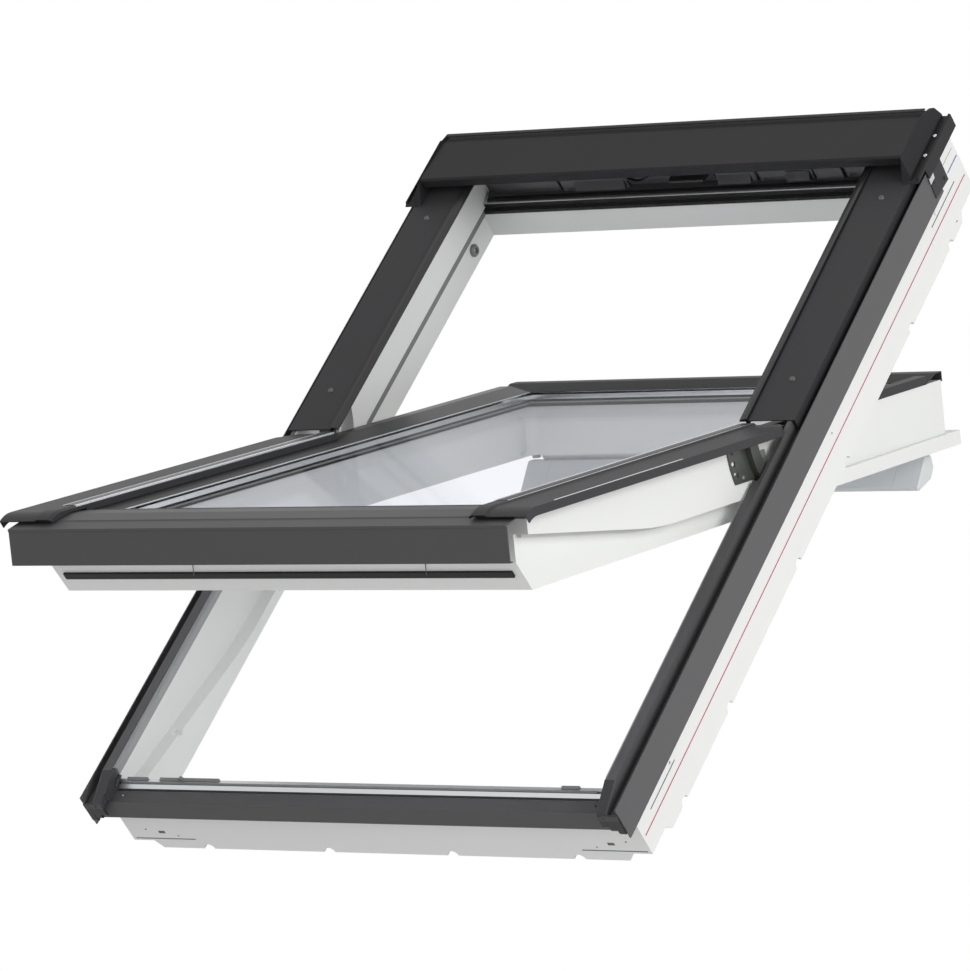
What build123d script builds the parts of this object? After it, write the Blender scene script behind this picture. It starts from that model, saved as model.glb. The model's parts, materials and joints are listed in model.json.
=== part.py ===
from build123d import *
from math import atan2, cos, degrees, radians, sin, sqrt, tan
import os

# A centre-pivot roof window: white moulded frame and sash, dark aluminium cladding.
# Every piece is drawn in the flat window: x across, y up the slope, z out of the roof.
# The sash is drawn shut. At the end the sash is swung open and all of it is tilted
# to the roof, so the saved pieces stand as they do in a 45 degree roof.

# Overall sizes
frame_width = 780.0
frame_length = 1178.0
roof_pitch = 45.0
open_angle = 36.0

# Frame moulding
frame_wall = 40.0
frame_top = 116.5
line_level = 27.6
skirt_depth = 15.0
skirt_inset = 1.5
skirt_corners = ((14.0, 44.0), (28.0, 12.0))
skirt_slope = 11.0
notch_radius = 8.0
notch_depth = 12.0
notch_offsets_x = (93.0, 279.0)
notch_offsets_y = (90.0, 335.0, 491.0)
splay_height = 22.0
splay_side = 35.5
splay_past = 27.2
sill_splay = 20.0
upstand_depth = 19.0
upstand_height = 85.0
sill_drop = 41.0
sill_fall = 24.0
head_ledge = 44.0
head_wall = 18.0
hood_step = 1.0

bracket_low = 106.7
bracket_head = 101.0
bracket_level = 46.0
bracket_hole = 2.1
bracket_depths = (25.0, 22.0)
bracket_leads = (0.8, 1.6)

# Sealing ledge that crosses over at the pivot
recess_depth = 21.0
ledge_start = 79.0
ledge_end = 34.7
ledge_knee = 265.0
ledge_stop = 355.0
ledge_slope = 0.15
pivot_recess = 103.0
step_level = 37.0
step_depth = 10.0
seal_gap = 6.0
seal_rest = 2.0
seal_width = 6.0
seal_stop = 92.0
run_gap = 5.0

# Pivot
pivot_y = 612.8
pivot_z = 121.5
cleaning_angle = 161.0

# Side gutters and upper covers
sheet = 1.5
gutter_reach = 10.7
gutter_low = 63.6
gutter_lip = 112.6
gutter_floor = 98.5
gutter_tail = 30.0
gutter_tip = 49.0
flange_head_gap = 78.0
rib_width = 12.0
cover_top = 119.8
cover_reach = 81.0
cover_lip = 11.0
upper_lip = 17.0
cover_screw_inset = 33.0
cover_screw_steps = (74.0, 148.0)
screw_head = 4.5
screw_shank = 2.0
screw_rise = 1.3
cover_edge_width = 13.0
cover_edge_height = 3.0
cover_gap = 8.2
fit_gap = 0.3
bead_groove = 1.2

# Sill and head cladding
sill_out = 18.0
sill_top = 93.0
sill_low = 63.6
sill_hem = 8.0
rail_height = 12.0
rail_groove = 3.0
nose_start = 14.0
nose_fall = 14.0
block_low = 96.0
block_cheek = 1.8
hood_low = 133.0
hood_reach = 100.0
hood_rise = 147.0
hood_back = 139.0
hood_inset = 12.0
hood_drop = 100.0
cap_reach = 124.0
cap_low_edge = 104.0
cap_overrun = 5.0
cap_rail = 2.7
cap_ridge_out = 1.0
cap_ridge_top = 126.0
cap_pocket_floor = 122.0
cheek_reach = 98.0
plate_width = 44.0
plate_head_gap = 57.0
plate_foot = 68.0

# Sash moulding
sash_play = 5.0
sash_setback = 14.0
rail_width = 47.0
reveal_low = 75.0
reveal_head_gap = 103.0
reveal_radius = 14.0
sash_low = 23.5
sash_head_gap = 76.0
flange_gap = 52.0
room_face = 12.5
flange_top = 31.5
sash_skin = 103.0
slant_low = 53.0
slant_high = 50.0
glass_seat = 80.0
glass_lap = 11.0
rebate_gap = 4.0

# Glass unit
pane = 4.0
cavity = 12.0
spacer_width = 10.0
seal_height = 4.0

# Sash cladding
strip_lap = 13.0
strip_skirt = 11.5
strip_flat = 16.0
cheek_clear = 0.7
bottom_front = 24.5
bottom_low = 58.0
bottom_high = 100.5
bottom_rear = 28.0
bottom_peak = 114.5
bottom_lip = 3.5
bottom_clear = 6.0
side_end = 5.0
side_corner = 25.0
side_flat = 55.0
side_ridge = 2.4
side_inner_drop = 8.0
side_start = 12.0
side_bend = 25.0
side_bend_angle = 34.7

# Friction hinge
hinge_pocket = 8.0
hinge_plate = 2.2
pocket_radius = 97.0
track_inner = 66.0
track_outer = 86.0
track_wall = 3.0
track_start = 186.0
track_end = 330.0
tail_radius = 127.0
tail_start = 184.0
tail_end = 208.0
tail_low = 62.0
track_play = 0.4
rivet_radius = 3.2
rivet_height = 1.4

# Flap, bar, latch and bolt
flap_inset = 7.0
flap_width = 41.0
flap_edge = 1.0
flap_thick = 9.0
flap_barrel = 4.0
bar_shape = ((-48.0, 3.5), (-32.0, 3.5), (-27.0, -14.0), (-37.0, -29.0), (-81.0, -42.0))
bar_round = 4.0
bar_inset = 20.0
bar_cap = 40.0
bolt_radius = 4.0
bolt_back = 13.8
bolt_z = 20.0
bolt_setback = 10.0
bolt_travel = 24.5
bolt_length = 62.0
grip_back = 28.0
bolt_reach = 11.0
bush_outer = 9.0
bush_gap = 0.6
bush_length = 5.0
bush_back = 3.2
bush_drop = 14.0
latch_half = 9.0
latch_back = 6.0
latch_z = 64.0
latch_reach = 21.0
latch_pin = 4.0
head_screw_inset = 75.0
pad_before = 12.8
pad_after = 23.2
pad_top = 116.0

# Places worked out from the sizes above
half_width = frame_width / 2
mid_length = frame_length / 2
inner_half = half_width - frame_wall
recess_half = inner_half + recess_depth
lower_half = inner_half + step_depth
wide_half = recess_half - run_gap
head_face = frame_length - frame_wall
head_back = frame_length - head_wall
splay_end = pivot_y + splay_past
bracket_places = (bracket_low, frame_length - bracket_head)
gutter_half = half_width + gutter_reach
rib_outer = recess_half + rib_width
flange_end = frame_length - flange_head_gap

cover_outer = half_width
cover_inner = half_width - cover_reach
cover_start = pivot_y + cover_gap
cover_end = frame_length
cover_screw_x = half_width - cover_screw_inset
cover_screw_places = (cover_start + cover_screw_steps[0], frame_length - cover_screw_steps[1])

sash_side = inner_half - sash_play
sash_top_side = inner_half - sash_setback
sash_high = frame_length - sash_head_gap
flange_high = frame_length - flange_gap
reveal_half = inner_half - rail_width
reveal_high = frame_length - reveal_head_gap
glass_half = reveal_half + glass_lap
glass_low = reveal_low - glass_lap
glass_high = reveal_high + glass_lap
glass_top = glass_seat + seal_height + 2 * pane + cavity
rebate_half = glass_half + rebate_gap
strip_inner = reveal_half - strip_lap
top_strip_start = reveal_high - strip_lap
strip_end = pivot_y - tail_radius - 2 * sheet
sill_half = recess_half - block_cheek - 2 * fit_gap
bottom_half = recess_half - block_cheek - cheek_clear
pad_low = pivot_y - pad_before
pad_high = pivot_y + pad_after

nose_run = nose_start + gutter_tail
nose_end = frame_top + sheet - nose_fall
hood_half = half_width - hood_inset
hood_front = frame_length - hood_reach
cap_low = cover_top + fit_gap
cap_front = frame_length - cap_reach
cap_end = frame_length + cap_overrun
cap_ridge = half_width + cap_ridge_out
rail_front_end = frame_length - cheek_reach
plate_high = frame_length - plate_head_gap
plate_low = plate_high - plate_width

flap_half = reveal_half - flap_inset
flap_high = flange_high - flap_edge
flap_low = flap_high - flap_width
flap_axis_y = flap_high - flap_barrel
flap_axis_z = room_face - fit_gap - flap_barrel
bar_section = [(flange_high + y, z) for y, z in bar_shape]
bar_half = flap_half - bar_inset
bolt_y = sash_high - bolt_back
bolt_tip = sash_side - bolt_setback
bolt_grip = bolt_tip - grip_back
bush_y = bolt_y - bush_back
bush_z = bolt_z - bush_drop
latch_axis = sash_high + 8
latch_y = sash_high - latch_back
head_screw_x = inner_half - head_screw_inset


def across(y):
    """Plane across the window at y, with x to the right and z up."""
    return Plane.XZ.offset(-y)


def along(x):
    """Plane along the slope at x, with y to the right and z up."""
    return Plane.YZ.offset(x)


def level(z):
    """Plane parallel to the roof at height z."""
    return Plane.XY.offset(z)


def fold(points, side=Side.LEFT):
    """Draw the section of a folded sheet whose outer face follows the points."""
    Polyline(*points)
    offset(amount=sheet, side=side, kind=Kind.INTERSECTION)


def outline(points):
    """Add a face bounded by straight lines through the points."""
    Polygon(*points, align=None)


def on_circle(radius, angle):
    """Point of the slope plane at a radius and angle about the pivot."""
    turn = radians(angle)
    return (pivot_y + radius * cos(turn), pivot_z + radius * sin(turn))


def ledge(lift, stop, turn):
    """Draw the crossing-over ledge line, lifted by a gap, and its arc about the pivot.

    The arc starts past the pivot (turn 1) or dips below it first (turn -1).
    """
    radius = pivot_recess - lift
    plateau = ledge_end + lift
    meet = pivot_y + turn * sqrt(radius ** 2 - (pivot_z - plateau) ** 2)
    top_meet = pivot_y + sqrt(radius ** 2 - (stop - pivot_z) ** 2)
    first = (upstand_depth, ledge_start + lift)
    knee = (ledge_knee, first[1] - ledge_slope * (ledge_knee - upstand_depth))
    last = (ledge_stop, plateau)
    Polyline((top_meet, stop), (upstand_depth, stop), first, knee)
    Spline(knee, last, tangents=[(1, -ledge_slope), (1, 0)])
    Line(last, (meet, plateau))
    middle = (degrees(atan2(plateau - pivot_z, meet - pivot_y))
              + degrees(atan2(stop - pivot_z, top_meet - pivot_y))) / 2
    ThreePointArc((meet, plateau),
                  (pivot_y + radius * cos(radians(middle)),
                   pivot_z + radius * sin(radians(middle))),
                  (top_meet, stop))


pieces = []


def keep(builder, name, place):
    """Note a finished piece with the name and place it is saved under."""
    builder.part.label = name
    pieces.append((builder, name, place))


# Frame moulding: one piece with a skirt, a stepped rebate and a splayed room edge
with BuildPart() as outer_frame:
    with BuildSketch(level(0)):
        with Locations((0, mid_length)):
            Rectangle(frame_width, frame_length)
        with Locations((0, (frame_wall + head_face) / 2)):
            Rectangle(2 * inner_half, head_face - frame_wall, mode=Mode.SUBTRACT)
    extrude(amount=frame_top)
    # skirt below the step, cut away at the corners
    with BuildSketch(level(0)):
        with Locations((0, mid_length)):
            Rectangle(frame_width - 2 * skirt_inset, frame_length - 2 * skirt_inset)
        with Locations((0, (frame_wall + head_face) / 2)):
            Rectangle(2 * inner_half, head_face - frame_wall, mode=Mode.SUBTRACT)
    extrude(amount=-skirt_depth)
    for corner_x in (-1, 1):
        for corner_y in (-1, 1):
            for reach_x, reach_y in skirt_corners:
                with BuildSketch(level(0)):
                    with Locations((corner_x * half_width, mid_length + corner_y * mid_length)):
                        Rectangle(2 * reach_x, 2 * reach_y)
                extrude(amount=-skirt_depth, taper=-degrees(atan2(skirt_slope, skirt_depth)),
                        mode=Mode.SUBTRACT)
    # half round notches in the outer edge of the skirt
    for side in (-1, 1):
        with BuildSketch(along(side * half_width)):
            with Locations([(mid_length + end * step, -skirt_depth)
                            for step in notch_offsets_y for end in (-1, 1)]):
                Circle(notch_radius)
        extrude(amount=-side * notch_depth, mode=Mode.SUBTRACT)
        with BuildSketch(across(mid_length + side * mid_length)):
            with Locations([(end * step, -skirt_depth)
                            for step in notch_offsets_x for end in (-1, 1)]):
                Circle(notch_radius)
        extrude(amount=side * notch_depth, mode=Mode.SUBTRACT)
    # outer face of the head set back under the hood
    with BuildSketch(along(-half_width)):
        outline([(frame_length - hood_step, hood_drop - hood_step), (frame_length + 1, hood_drop - hood_step),
                 (frame_length + 1, frame_top + 1), (frame_length - hood_step, frame_top + 1)])
    extrude(amount=frame_width, mode=Mode.SUBTRACT)
    # sill: low upstand in front, falling ledge behind it
    with BuildSketch(along(-recess_half)):
        outline([(-1, frame_top + 1), (-1, upstand_height), (upstand_depth, upstand_height),
                 (upstand_depth, frame_top + 1)])
    extrude(amount=2 * recess_half, mode=Mode.SUBTRACT)
    with BuildSketch(along(-inner_half)):
        outline([(upstand_depth, frame_top + 1), (upstand_depth, upstand_height - sill_drop),
                 (frame_wall + 1, upstand_height - sill_drop - sill_fall),
                 (frame_wall + 1, frame_top + 1)])
    extrude(amount=2 * inner_half, mode=Mode.SUBTRACT)
    # head: recess above the ledge for the latch plate
    with BuildSketch(along(-inner_half)):
        outline([(head_face - 1, head_ledge), (head_back, head_ledge),
                 (head_back, frame_top + 1), (head_face - 1, frame_top + 1)])
    extrude(amount=2 * inner_half, mode=Mode.SUBTRACT)
    # lower jambs: rebate with the crossing-over ledge
    for side in (-1, 1):
        with BuildSketch(along(side * (inner_half - 1))):
            with BuildLine():
                ledge(0, frame_top + 1, -1)
            make_face()
        extrude(amount=side * (recess_depth + 1), mode=Mode.SUBTRACT)
        with BuildSketch(along(side * recess_half)):
            with BuildLine():
                RadiusArc(on_circle(pocket_radius, 180), on_circle(pocket_radius, 0),
                          -pocket_radius)
                Line(on_circle(pocket_radius, 0), on_circle(pocket_radius, 180))
            make_face()
        extrude(amount=side * hinge_pocket, mode=Mode.SUBTRACT)
        # upper jambs: shoulder that the side seal sits under
        with BuildSketch(across(head_face)):
            outline([(side * (inner_half - 1), step_level), (side * lower_half, step_level),
                     (side * lower_half, -skirt_depth - 1),
                     (side * (inner_half - 1), -skirt_depth - 1)])
        extrude(amount=head_face - pivot_y - pivot_recess, mode=Mode.SUBTRACT)
        # splayed room edge of the lower jambs
        with BuildSketch(across(splay_end)):
            outline([(side * (inner_half - 1), splay_height),
                     (side * inner_half, splay_height),
                     (side * (inner_half + splay_side), -skirt_depth - 1),
                     (side * (inner_half - 1), -skirt_depth - 1)])
        extrude(amount=splay_end - frame_wall, mode=Mode.SUBTRACT)
        # top of the jamb falls away under the corner block
        with BuildSketch(along(side * (recess_half - 1))):
            outline([(nose_start, frame_top + 1), (nose_start, frame_top),
                     (-1, frame_top - nose_fall * (nose_start + 1) / nose_run),
                     (-1, frame_top + 1)])
        extrude(amount=side * (half_width - recess_half + 2), mode=Mode.SUBTRACT)
        # outer rebate under the gutter
        with BuildSketch(across(frame_length)):
            outline([(side * rib_outer, frame_top + 1), (side * rib_outer, gutter_floor - sheet),
                     (side * (half_width + 1), gutter_floor - sheet),
                     (side * (half_width + 1), frame_top + 1)])
        extrude(amount=frame_length, mode=Mode.SUBTRACT)
    # pilot holes for the mounting brackets in both side faces, with a lead-in at the mouth
    for side in (-1, 1):
        for place, depth, lead in zip(bracket_places, bracket_depths, bracket_leads):
            with BuildSketch(along(side * half_width)):
                with Locations((place, bracket_level)):
                    Circle(bracket_hole)
            extrude(amount=-side * depth, mode=Mode.SUBTRACT)
            with BuildSketch(along(side * half_width)):
                with Locations((place, bracket_level)):
                    Circle(bracket_hole + lead)
            extrude(amount=-side * lead, taper=45, mode=Mode.SUBTRACT)
    with BuildSketch(along(-inner_half)):
        outline([(frame_wall + 1, sill_splay - skirt_depth), (frame_wall, sill_splay - skirt_depth),
                 (frame_wall - sill_splay, -skirt_depth - 1), (frame_wall + 1, -skirt_depth - 1)])
    extrude(amount=2 * inner_half, mode=Mode.SUBTRACT)
    # hole in the left ledge that the bolt enters when the sash is turned right round
    turned = radians(cleaning_angle)
    with BuildSketch(along(-inner_half + 1)):
        with Locations((pivot_y + (bolt_y - pivot_y) * cos(turned) + (bolt_z - pivot_z) * sin(turned),
                        pivot_z - (bolt_y - pivot_y) * sin(turned) + (bolt_z - pivot_z) * cos(turned))):
            Circle(bolt_radius + bush_gap)
    extrude(amount=-bolt_reach - 1, mode=Mode.SUBTRACT)

# The moulding is saved as its two jambs, its sill and its head, which meet flush
with BuildPart() as frame_sill:
    with BuildSketch(level(-skirt_depth)):
        with Locations((0, frame_wall / 2)):
            Rectangle(2 * inner_half, frame_wall)
    extrude(amount=frame_top + skirt_depth)
    add(outer_frame.part, mode=Mode.INTERSECT)
keep(frame_sill, "frame_sill", "frame")

with BuildPart() as frame_head:
    with BuildSketch(level(-skirt_depth)):
        with Locations((0, (head_face + frame_length) / 2)):
            Rectangle(2 * inner_half, frame_wall)
    extrude(amount=frame_top + skirt_depth)
    add(outer_frame.part, mode=Mode.INTERSECT)
keep(frame_head, "frame_head", "frame")

for side, hand in ((1, "right"), (-1, "left")):
    with BuildPart() as frame_jamb:
        with BuildSketch(level(-skirt_depth)):
            with Locations((side * (inner_half + half_width) / 2, mid_length)):
                Rectangle(frame_wall, frame_length)
        extrude(amount=frame_top + skirt_depth)
        add(outer_frame.part, mode=Mode.INTERSECT)
    keep(frame_jamb, f"frame_jamb_{hand}", "frame")


# Side gutters: a channel with an outer flange and an inner rib on the jamb
with BuildPart() as gutter_right:
    with BuildSketch(across(frame_length)):
        with BuildLine():
            fold([(gutter_half, gutter_low), (gutter_half, gutter_lip)])
        make_face()
        with BuildLine():
            fold([(gutter_half - sheet / 2, gutter_floor - sheet),
                  (rib_outer, gutter_floor - sheet), (rib_outer, frame_top),
                  (recess_half, frame_top)], side=Side.RIGHT)
        make_face()
    extrude(amount=frame_length + gutter_tail)
    # the rib ends at the corner block, and opens over the hinge pocket
    with BuildSketch(along(recess_half)):
        outline([(nose_start, frame_top + 2 * sheet), (nose_start, frame_top + sheet),
                 (-gutter_tail - 1, nose_end), (-gutter_tail - 1, frame_top + 2 * sheet)])
    extrude(amount=rib_width + sheet, mode=Mode.SUBTRACT)
    with BuildSketch(level(frame_top)):
        with Locations((recess_half + rib_width / 2, (nose_start - gutter_tail - 1) / 2)):
            Rectangle(rib_width, nose_start + gutter_tail + 1)
        with Locations((recess_half + hinge_pocket / 2, pivot_y)):
            Rectangle(hinge_pocket + fit_gap, 2 * pocket_radius)
    extrude(amount=2 * sheet, mode=Mode.SUBTRACT)
    # the tail of the flange is cut back to a point below the sill
    with BuildSketch(along(gutter_half - 2 * sheet)):
        outline([(-gutter_tail - 1, gutter_floor - sheet), (-gutter_tail, gutter_floor - sheet),
                 (-gutter_tail + gutter_tip - sill_out, gutter_low - 1),
                 (-gutter_tail - 1, gutter_low - 1)])
        outline([(flange_end, gutter_low - 1), (frame_length + 1, gutter_low - 1),
                 (frame_length + 1, gutter_lip + 1), (flange_end, gutter_lip + 1)])
    extrude(amount=4 * sheet, mode=Mode.SUBTRACT)
keep(gutter_right, "gutter_right", "frame")

with BuildPart() as gutter_left:
    mirror(gutter_right.part, about=Plane.YZ)
keep(gutter_left, "gutter_left", "frame")

# Upper side covers, clipped over the gutters, with a raised inner edge strip
with BuildPart() as upper_cover_right:
    with BuildSketch(across(cover_end)):
        with BuildLine():
            fold([(cover_outer, cover_top - upper_lip), (cover_outer, cover_top),
                  (cover_inner + cover_edge_width, cover_top),
                  (cover_inner + cover_edge_width, cover_top - 2 * sheet)])
        make_face()
    extrude(amount=cover_end - cover_start)
    with BuildSketch(level(cover_top)):
        with Locations([(cover_screw_x, y) for y in cover_screw_places]):
            Circle(screw_shank + fit_gap)
    extrude(amount=-2 * sheet, mode=Mode.SUBTRACT)
keep(upper_cover_right, "upper_cover_right", "frame")

with BuildPart() as upper_cover_left:
    mirror(upper_cover_right.part, about=Plane.YZ)
keep(upper_cover_left, "upper_cover_left", "frame")

with BuildPart() as cover_screws:
    with BuildSketch(level(cover_top)):
        with Locations([(side * cover_screw_x, y) for side in (-1, 1) for y in cover_screw_places]):
            Circle(screw_head)
    extrude(amount=screw_rise, taper=30)
    with BuildSketch(level(cover_top)):
        with Locations([(side * cover_screw_x, y) for side in (-1, 1) for y in cover_screw_places]):
            Circle(screw_shank)
    extrude(amount=-2 * sheet)
keep(cover_screws, "cover_screws", "frame")

with BuildPart() as cover_edge_right:
    with BuildSketch(across(head_back - fit_gap)):
        edge_outer = cover_inner + cover_edge_width - bead_groove
        outline([(edge_outer, cover_top - 2 * sheet), (edge_outer, cover_top + cover_edge_height),
                 (edge_outer - 3 * sheet, cover_top + cover_edge_height),
                 (cover_inner, cover_top + fit_gap), (cover_inner, cover_top - sheet),
                 (edge_outer - 2 * sheet, cover_top - sheet),
                 (edge_outer - 2 * sheet, cover_top - 3 * sheet),
                 (cover_inner + cover_edge_width + sheet, cover_top - 3 * sheet),
                 (cover_inner + cover_edge_width + sheet, cover_top - 2 * sheet)])
    extrude(amount=head_back - fit_gap - cover_start)
keep(cover_edge_right, "cover_edge_right", "frame")

with BuildPart() as cover_edge_left:
    mirror(cover_edge_right.part, about=Plane.YZ)
keep(cover_edge_left, "cover_edge_left", "frame")

# Grey strips at the top of the lower rebates
with BuildPart() as jamb_strip_right:
    with BuildSketch(across(strip_end)):
        outline([(recess_half, frame_top), (recess_half - 3 * sheet, frame_top - sheet),
                 (recess_half - 3 * sheet, frame_top - 3 * sheet),
                 (recess_half - sheet, frame_top - rib_width - 2 * sheet),
                 (recess_half, frame_top - rib_width - 3 * sheet)])
    extrude(amount=strip_end - upstand_depth - sheet)
keep(jamb_strip_right, "jamb_strip_right", "frame")

with BuildPart() as jamb_strip_left:
    mirror(jamb_strip_right.part, about=Plane.YZ)
keep(jamb_strip_left, "jamb_strip_left", "frame")

# Side seals of the upper half, under the shoulder of the jambs
with BuildPart() as jamb_seal_right:
    with BuildSketch(across(head_face)):
        outline([(lower_half, step_level), (inner_half + 1, step_level),
                 (inner_half + 1, step_level - step_depth + 1),
                 (lower_half, step_level - step_depth)])
    extrude(amount=head_face - pivot_y - pivot_recess)
keep(jamb_seal_right, "jamb_seal_right", "frame")

with BuildPart() as jamb_seal_left:
    mirror(jamb_seal_right.part, about=Plane.YZ)
keep(jamb_seal_left, "jamb_seal_left", "frame")

with BuildPart() as head_seal:
    with BuildSketch(along(-inner_half)):
        outline([(head_face, step_level), (head_face - seal_gap, step_level - 2),
                 (head_face - seal_gap, step_level - step_depth + 3),
                 (head_face, step_level - step_depth)])
    extrude(amount=2 * inner_half)
keep(head_seal, "head_seal", "frame")

# Sill cladding: drip front, top face and a step down onto the upstand
with BuildPart() as sill_cladding:
    with BuildSketch(along(-(gutter_half - 2 * sheet))):
        with BuildLine():
            fold([(-sill_out + sill_hem, sill_low), (-sill_out, sill_low), (-sill_out, sill_top),
                  (sheet, sill_top), (sheet, upstand_height + sheet),
                  (4 * sheet, upstand_height + sheet)], side=Side.RIGHT)
        make_face()
    extrude(amount=2 * (gutter_half - 2 * sheet))
    # cleared where the jambs and their gutters stand
    for side in (-1, 1):
        with BuildSketch(level(upstand_height - 2 * sheet)):
            with Locations((side * (gutter_half + recess_half) / 2, frame_wall / 2)):
                Rectangle(gutter_half - recess_half, frame_wall)
        extrude(amount=rib_width, mode=Mode.SUBTRACT)
keep(sill_cladding, "sill_cladding", "frame")

with BuildPart() as sill_rail:
    with BuildSketch(along(-sill_half)):
        rail_front = 4 * sheet + fit_gap
        groove = (rail_front + upstand_depth) / 2
        outline([(rail_front, upstand_height), (rail_front, upstand_height + rail_height - 5),
                 (groove - rail_groove / 2, upstand_height + rail_height - 2),
                 (groove - rail_groove / 2, upstand_height + rail_height - 5),
                 (groove + rail_groove / 2, upstand_height + rail_height - 5),
                 (groove + rail_groove / 2, upstand_height + rail_height - 1),
                 (upstand_depth - fit_gap, upstand_height + rail_height),
                 (upstand_depth - fit_gap, upstand_height)])
    extrude(amount=2 * sill_half)
keep(sill_rail, "sill_rail", "frame")

with BuildPart() as sill_gasket:
    with BuildSketch(along(-inner_half)):
        with Locations((groove, upstand_height + rail_height - 2.5)):
            Rectangle(rail_groove, 5)
    extrude(amount=2 * inner_half)
keep(sill_gasket, "sill_gasket", "frame")

for side, hand in ((1, "right"), (-1, "left")):
    # moulded corner blocks between sill cladding and gutter
    with BuildPart() as sill_corner:
        with BuildSketch(along(side * recess_half)):
            outline([(nose_start, frame_top + sheet), (-gutter_tail, nose_end),
                     (-gutter_tail, block_low), (-fit_gap, block_low),
                     (-fit_gap, nose_end + nose_fall * (gutter_tail / nose_run) - sheet),
                     (nose_start, frame_top)])
        extrude(amount=side * (rib_width - fit_gap))
        # cheek over the end of the jamb
        with BuildSketch(along(side * (recess_half - block_cheek))):
            outline([(-sill_out, sill_top + fit_gap), (sheet + fit_gap, sill_top + fit_gap),
                     (sheet + fit_gap, upstand_height + sheet + fit_gap),
                     (upstand_depth, upstand_height + sheet + fit_gap),
                     (upstand_depth, frame_top), (nose_start, frame_top + sheet),
                     (-sill_out, nose_end + nose_fall * (gutter_tail - sill_out) / nose_run)])
        extrude(amount=side * block_cheek)
        # stop plate across the lower end of the channel
        with BuildSketch(along(side * recess_half)):
            outline([(-gutter_tail, nose_end), (-gutter_tail, block_low),
                     (-gutter_tail - 2 * sheet, block_low), (-gutter_tail - 2 * sheet, nose_end)])
        extrude(amount=side * (gutter_half - recess_half - sheet - fit_gap))
        with BuildSketch(across(-gutter_tail - 2 * sheet)):
            with Locations((side * (recess_half + rib_width - 3), block_low + 5)):
                Circle(1.2)
        extrude(amount=-2 * sheet, mode=Mode.SUBTRACT)
    keep(sill_corner, f"sill_corner_{hand}", "frame")

# Hood: folded casing over the head, open below
with BuildPart() as hood:
    with BuildSketch(along(-hood_half)):
        with BuildLine():
            fold([(hood_front + 4 * sheet, hood_low), (hood_front, hood_low),
                  (hood_front, hood_rise - 2), (hood_front + 3, hood_rise),
                  (frame_length - 21, hood_rise - 3.5), (frame_length - 18, hood_back + 2),
                  (frame_length - 2, hood_back), (frame_length + sheet + fit_gap, hood_back - 4),
                  (frame_length + sheet + fit_gap, hood_drop)], side=Side.RIGHT)
        make_face()
    extrude(amount=2 * hood_half)
keep(hood, "hood", "frame")

# Moulded end caps of the hood: a slanting shoulder, a screw pocket and an outer cheek
with BuildPart() as hood_end_right:
    cheek_outer = gutter_half + fit_gap + cap_rail
    with BuildSketch(across(cap_end)):
        outline([(hood_half + fit_gap, cap_low), (hood_half + fit_gap, hood_rise),
                 (cap_ridge, cap_ridge_top), (cap_ridge, cap_pocket_floor),
                 (cheek_outer - cap_rail, cap_pocket_floor),
                 (cheek_outer - cap_rail, cap_ridge_top), (cheek_outer, cap_ridge_top - sheet),
                 (cheek_outer, cap_low_edge), (cheek_outer - cap_rail, cap_low_edge),
                 (cheek_outer - cap_rail, cap_low)])
    extrude(amount=cap_end - cap_front)
    with BuildSketch(along(hood_half)):
        outline([(cap_front, cap_low), (cap_front + 4, cap_pocket_floor),
                 (cap_front + 22, hood_rise), (frame_length - 20, hood_rise),
                 (frame_length, hood_back + 1), (cap_end, hood_back - 2), (cap_end, cap_low_edge),
                 (rail_front_end, cap_low_edge), (rail_front_end, cap_low)])
    extrude(amount=cheek_outer - hood_half + 1, mode=Mode.INTERSECT)
keep(hood_end_right, "hood_end_right", "frame")

with BuildPart() as hood_end_left:
    mirror(hood_end_right.part, about=Plane.YZ)
keep(hood_end_left, "hood_end_left", "frame")

# Side plates that hold the hood ends, screwed through the flange
with BuildPart() as side_plate_right:
    with BuildSketch(along(gutter_half)):
        outline([(plate_low, plate_foot + 4), (plate_high - 2, plate_foot),
                 (plate_high, cap_low_edge - fit_gap), (plate_low + 4, cap_low_edge - fit_gap)])
        with Locations((plate_low + 9, plate_foot + 24)):
            Circle(screw_shank, mode=Mode.SUBTRACT)
    extrude(amount=sheet)
keep(side_plate_right, "side_plate_right", "frame")

with BuildPart() as side_plate_left:
    mirror(side_plate_right.part, about=Plane.YZ)
keep(side_plate_left, "side_plate_left", "frame")

# Latch plate in the head recess with the striker in its middle
with BuildPart() as head_plate:
    with BuildSketch(along(-inner_half + 6)):
        outline([(head_back, head_ledge), (head_back, frame_top - 6), (head_back - 4, frame_top - 6),
                 (head_back - 4, head_ledge + 8), (head_back - 12, head_ledge + 4),
                 (head_back - 12, head_ledge)])
    extrude(amount=2 * (inner_half - 6))
keep(head_plate, "head_plate", "frame")

with BuildPart() as head_screws:
    with BuildSketch(across(head_back - 4)):
        with Locations([(side * head_screw_x, (head_ledge + frame_top) / 2) for side in (-1, 1)]):
            Circle(screw_head)
    extrude(amount=screw_rise, taper=30)
keep(head_screws, "head_screws", "frame")

with BuildPart() as striker:
    with BuildSketch(along(-3 * latch_half)):
        outline([(head_back - 4 - fit_gap, head_ledge + 12),
                 (head_back - 4 - fit_gap, frame_top - 12), (head_back - 7, frame_top - 12),
                 (head_back - 7, 86), (latch_y + latch_reach + 10, 80),
                 (latch_y + latch_reach + 10, 76), (head_back - 7, 72),
                 (head_back - 7, head_ledge + 12)])
    extrude(amount=6 * latch_half)
keep(striker, "striker", "frame")

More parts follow.
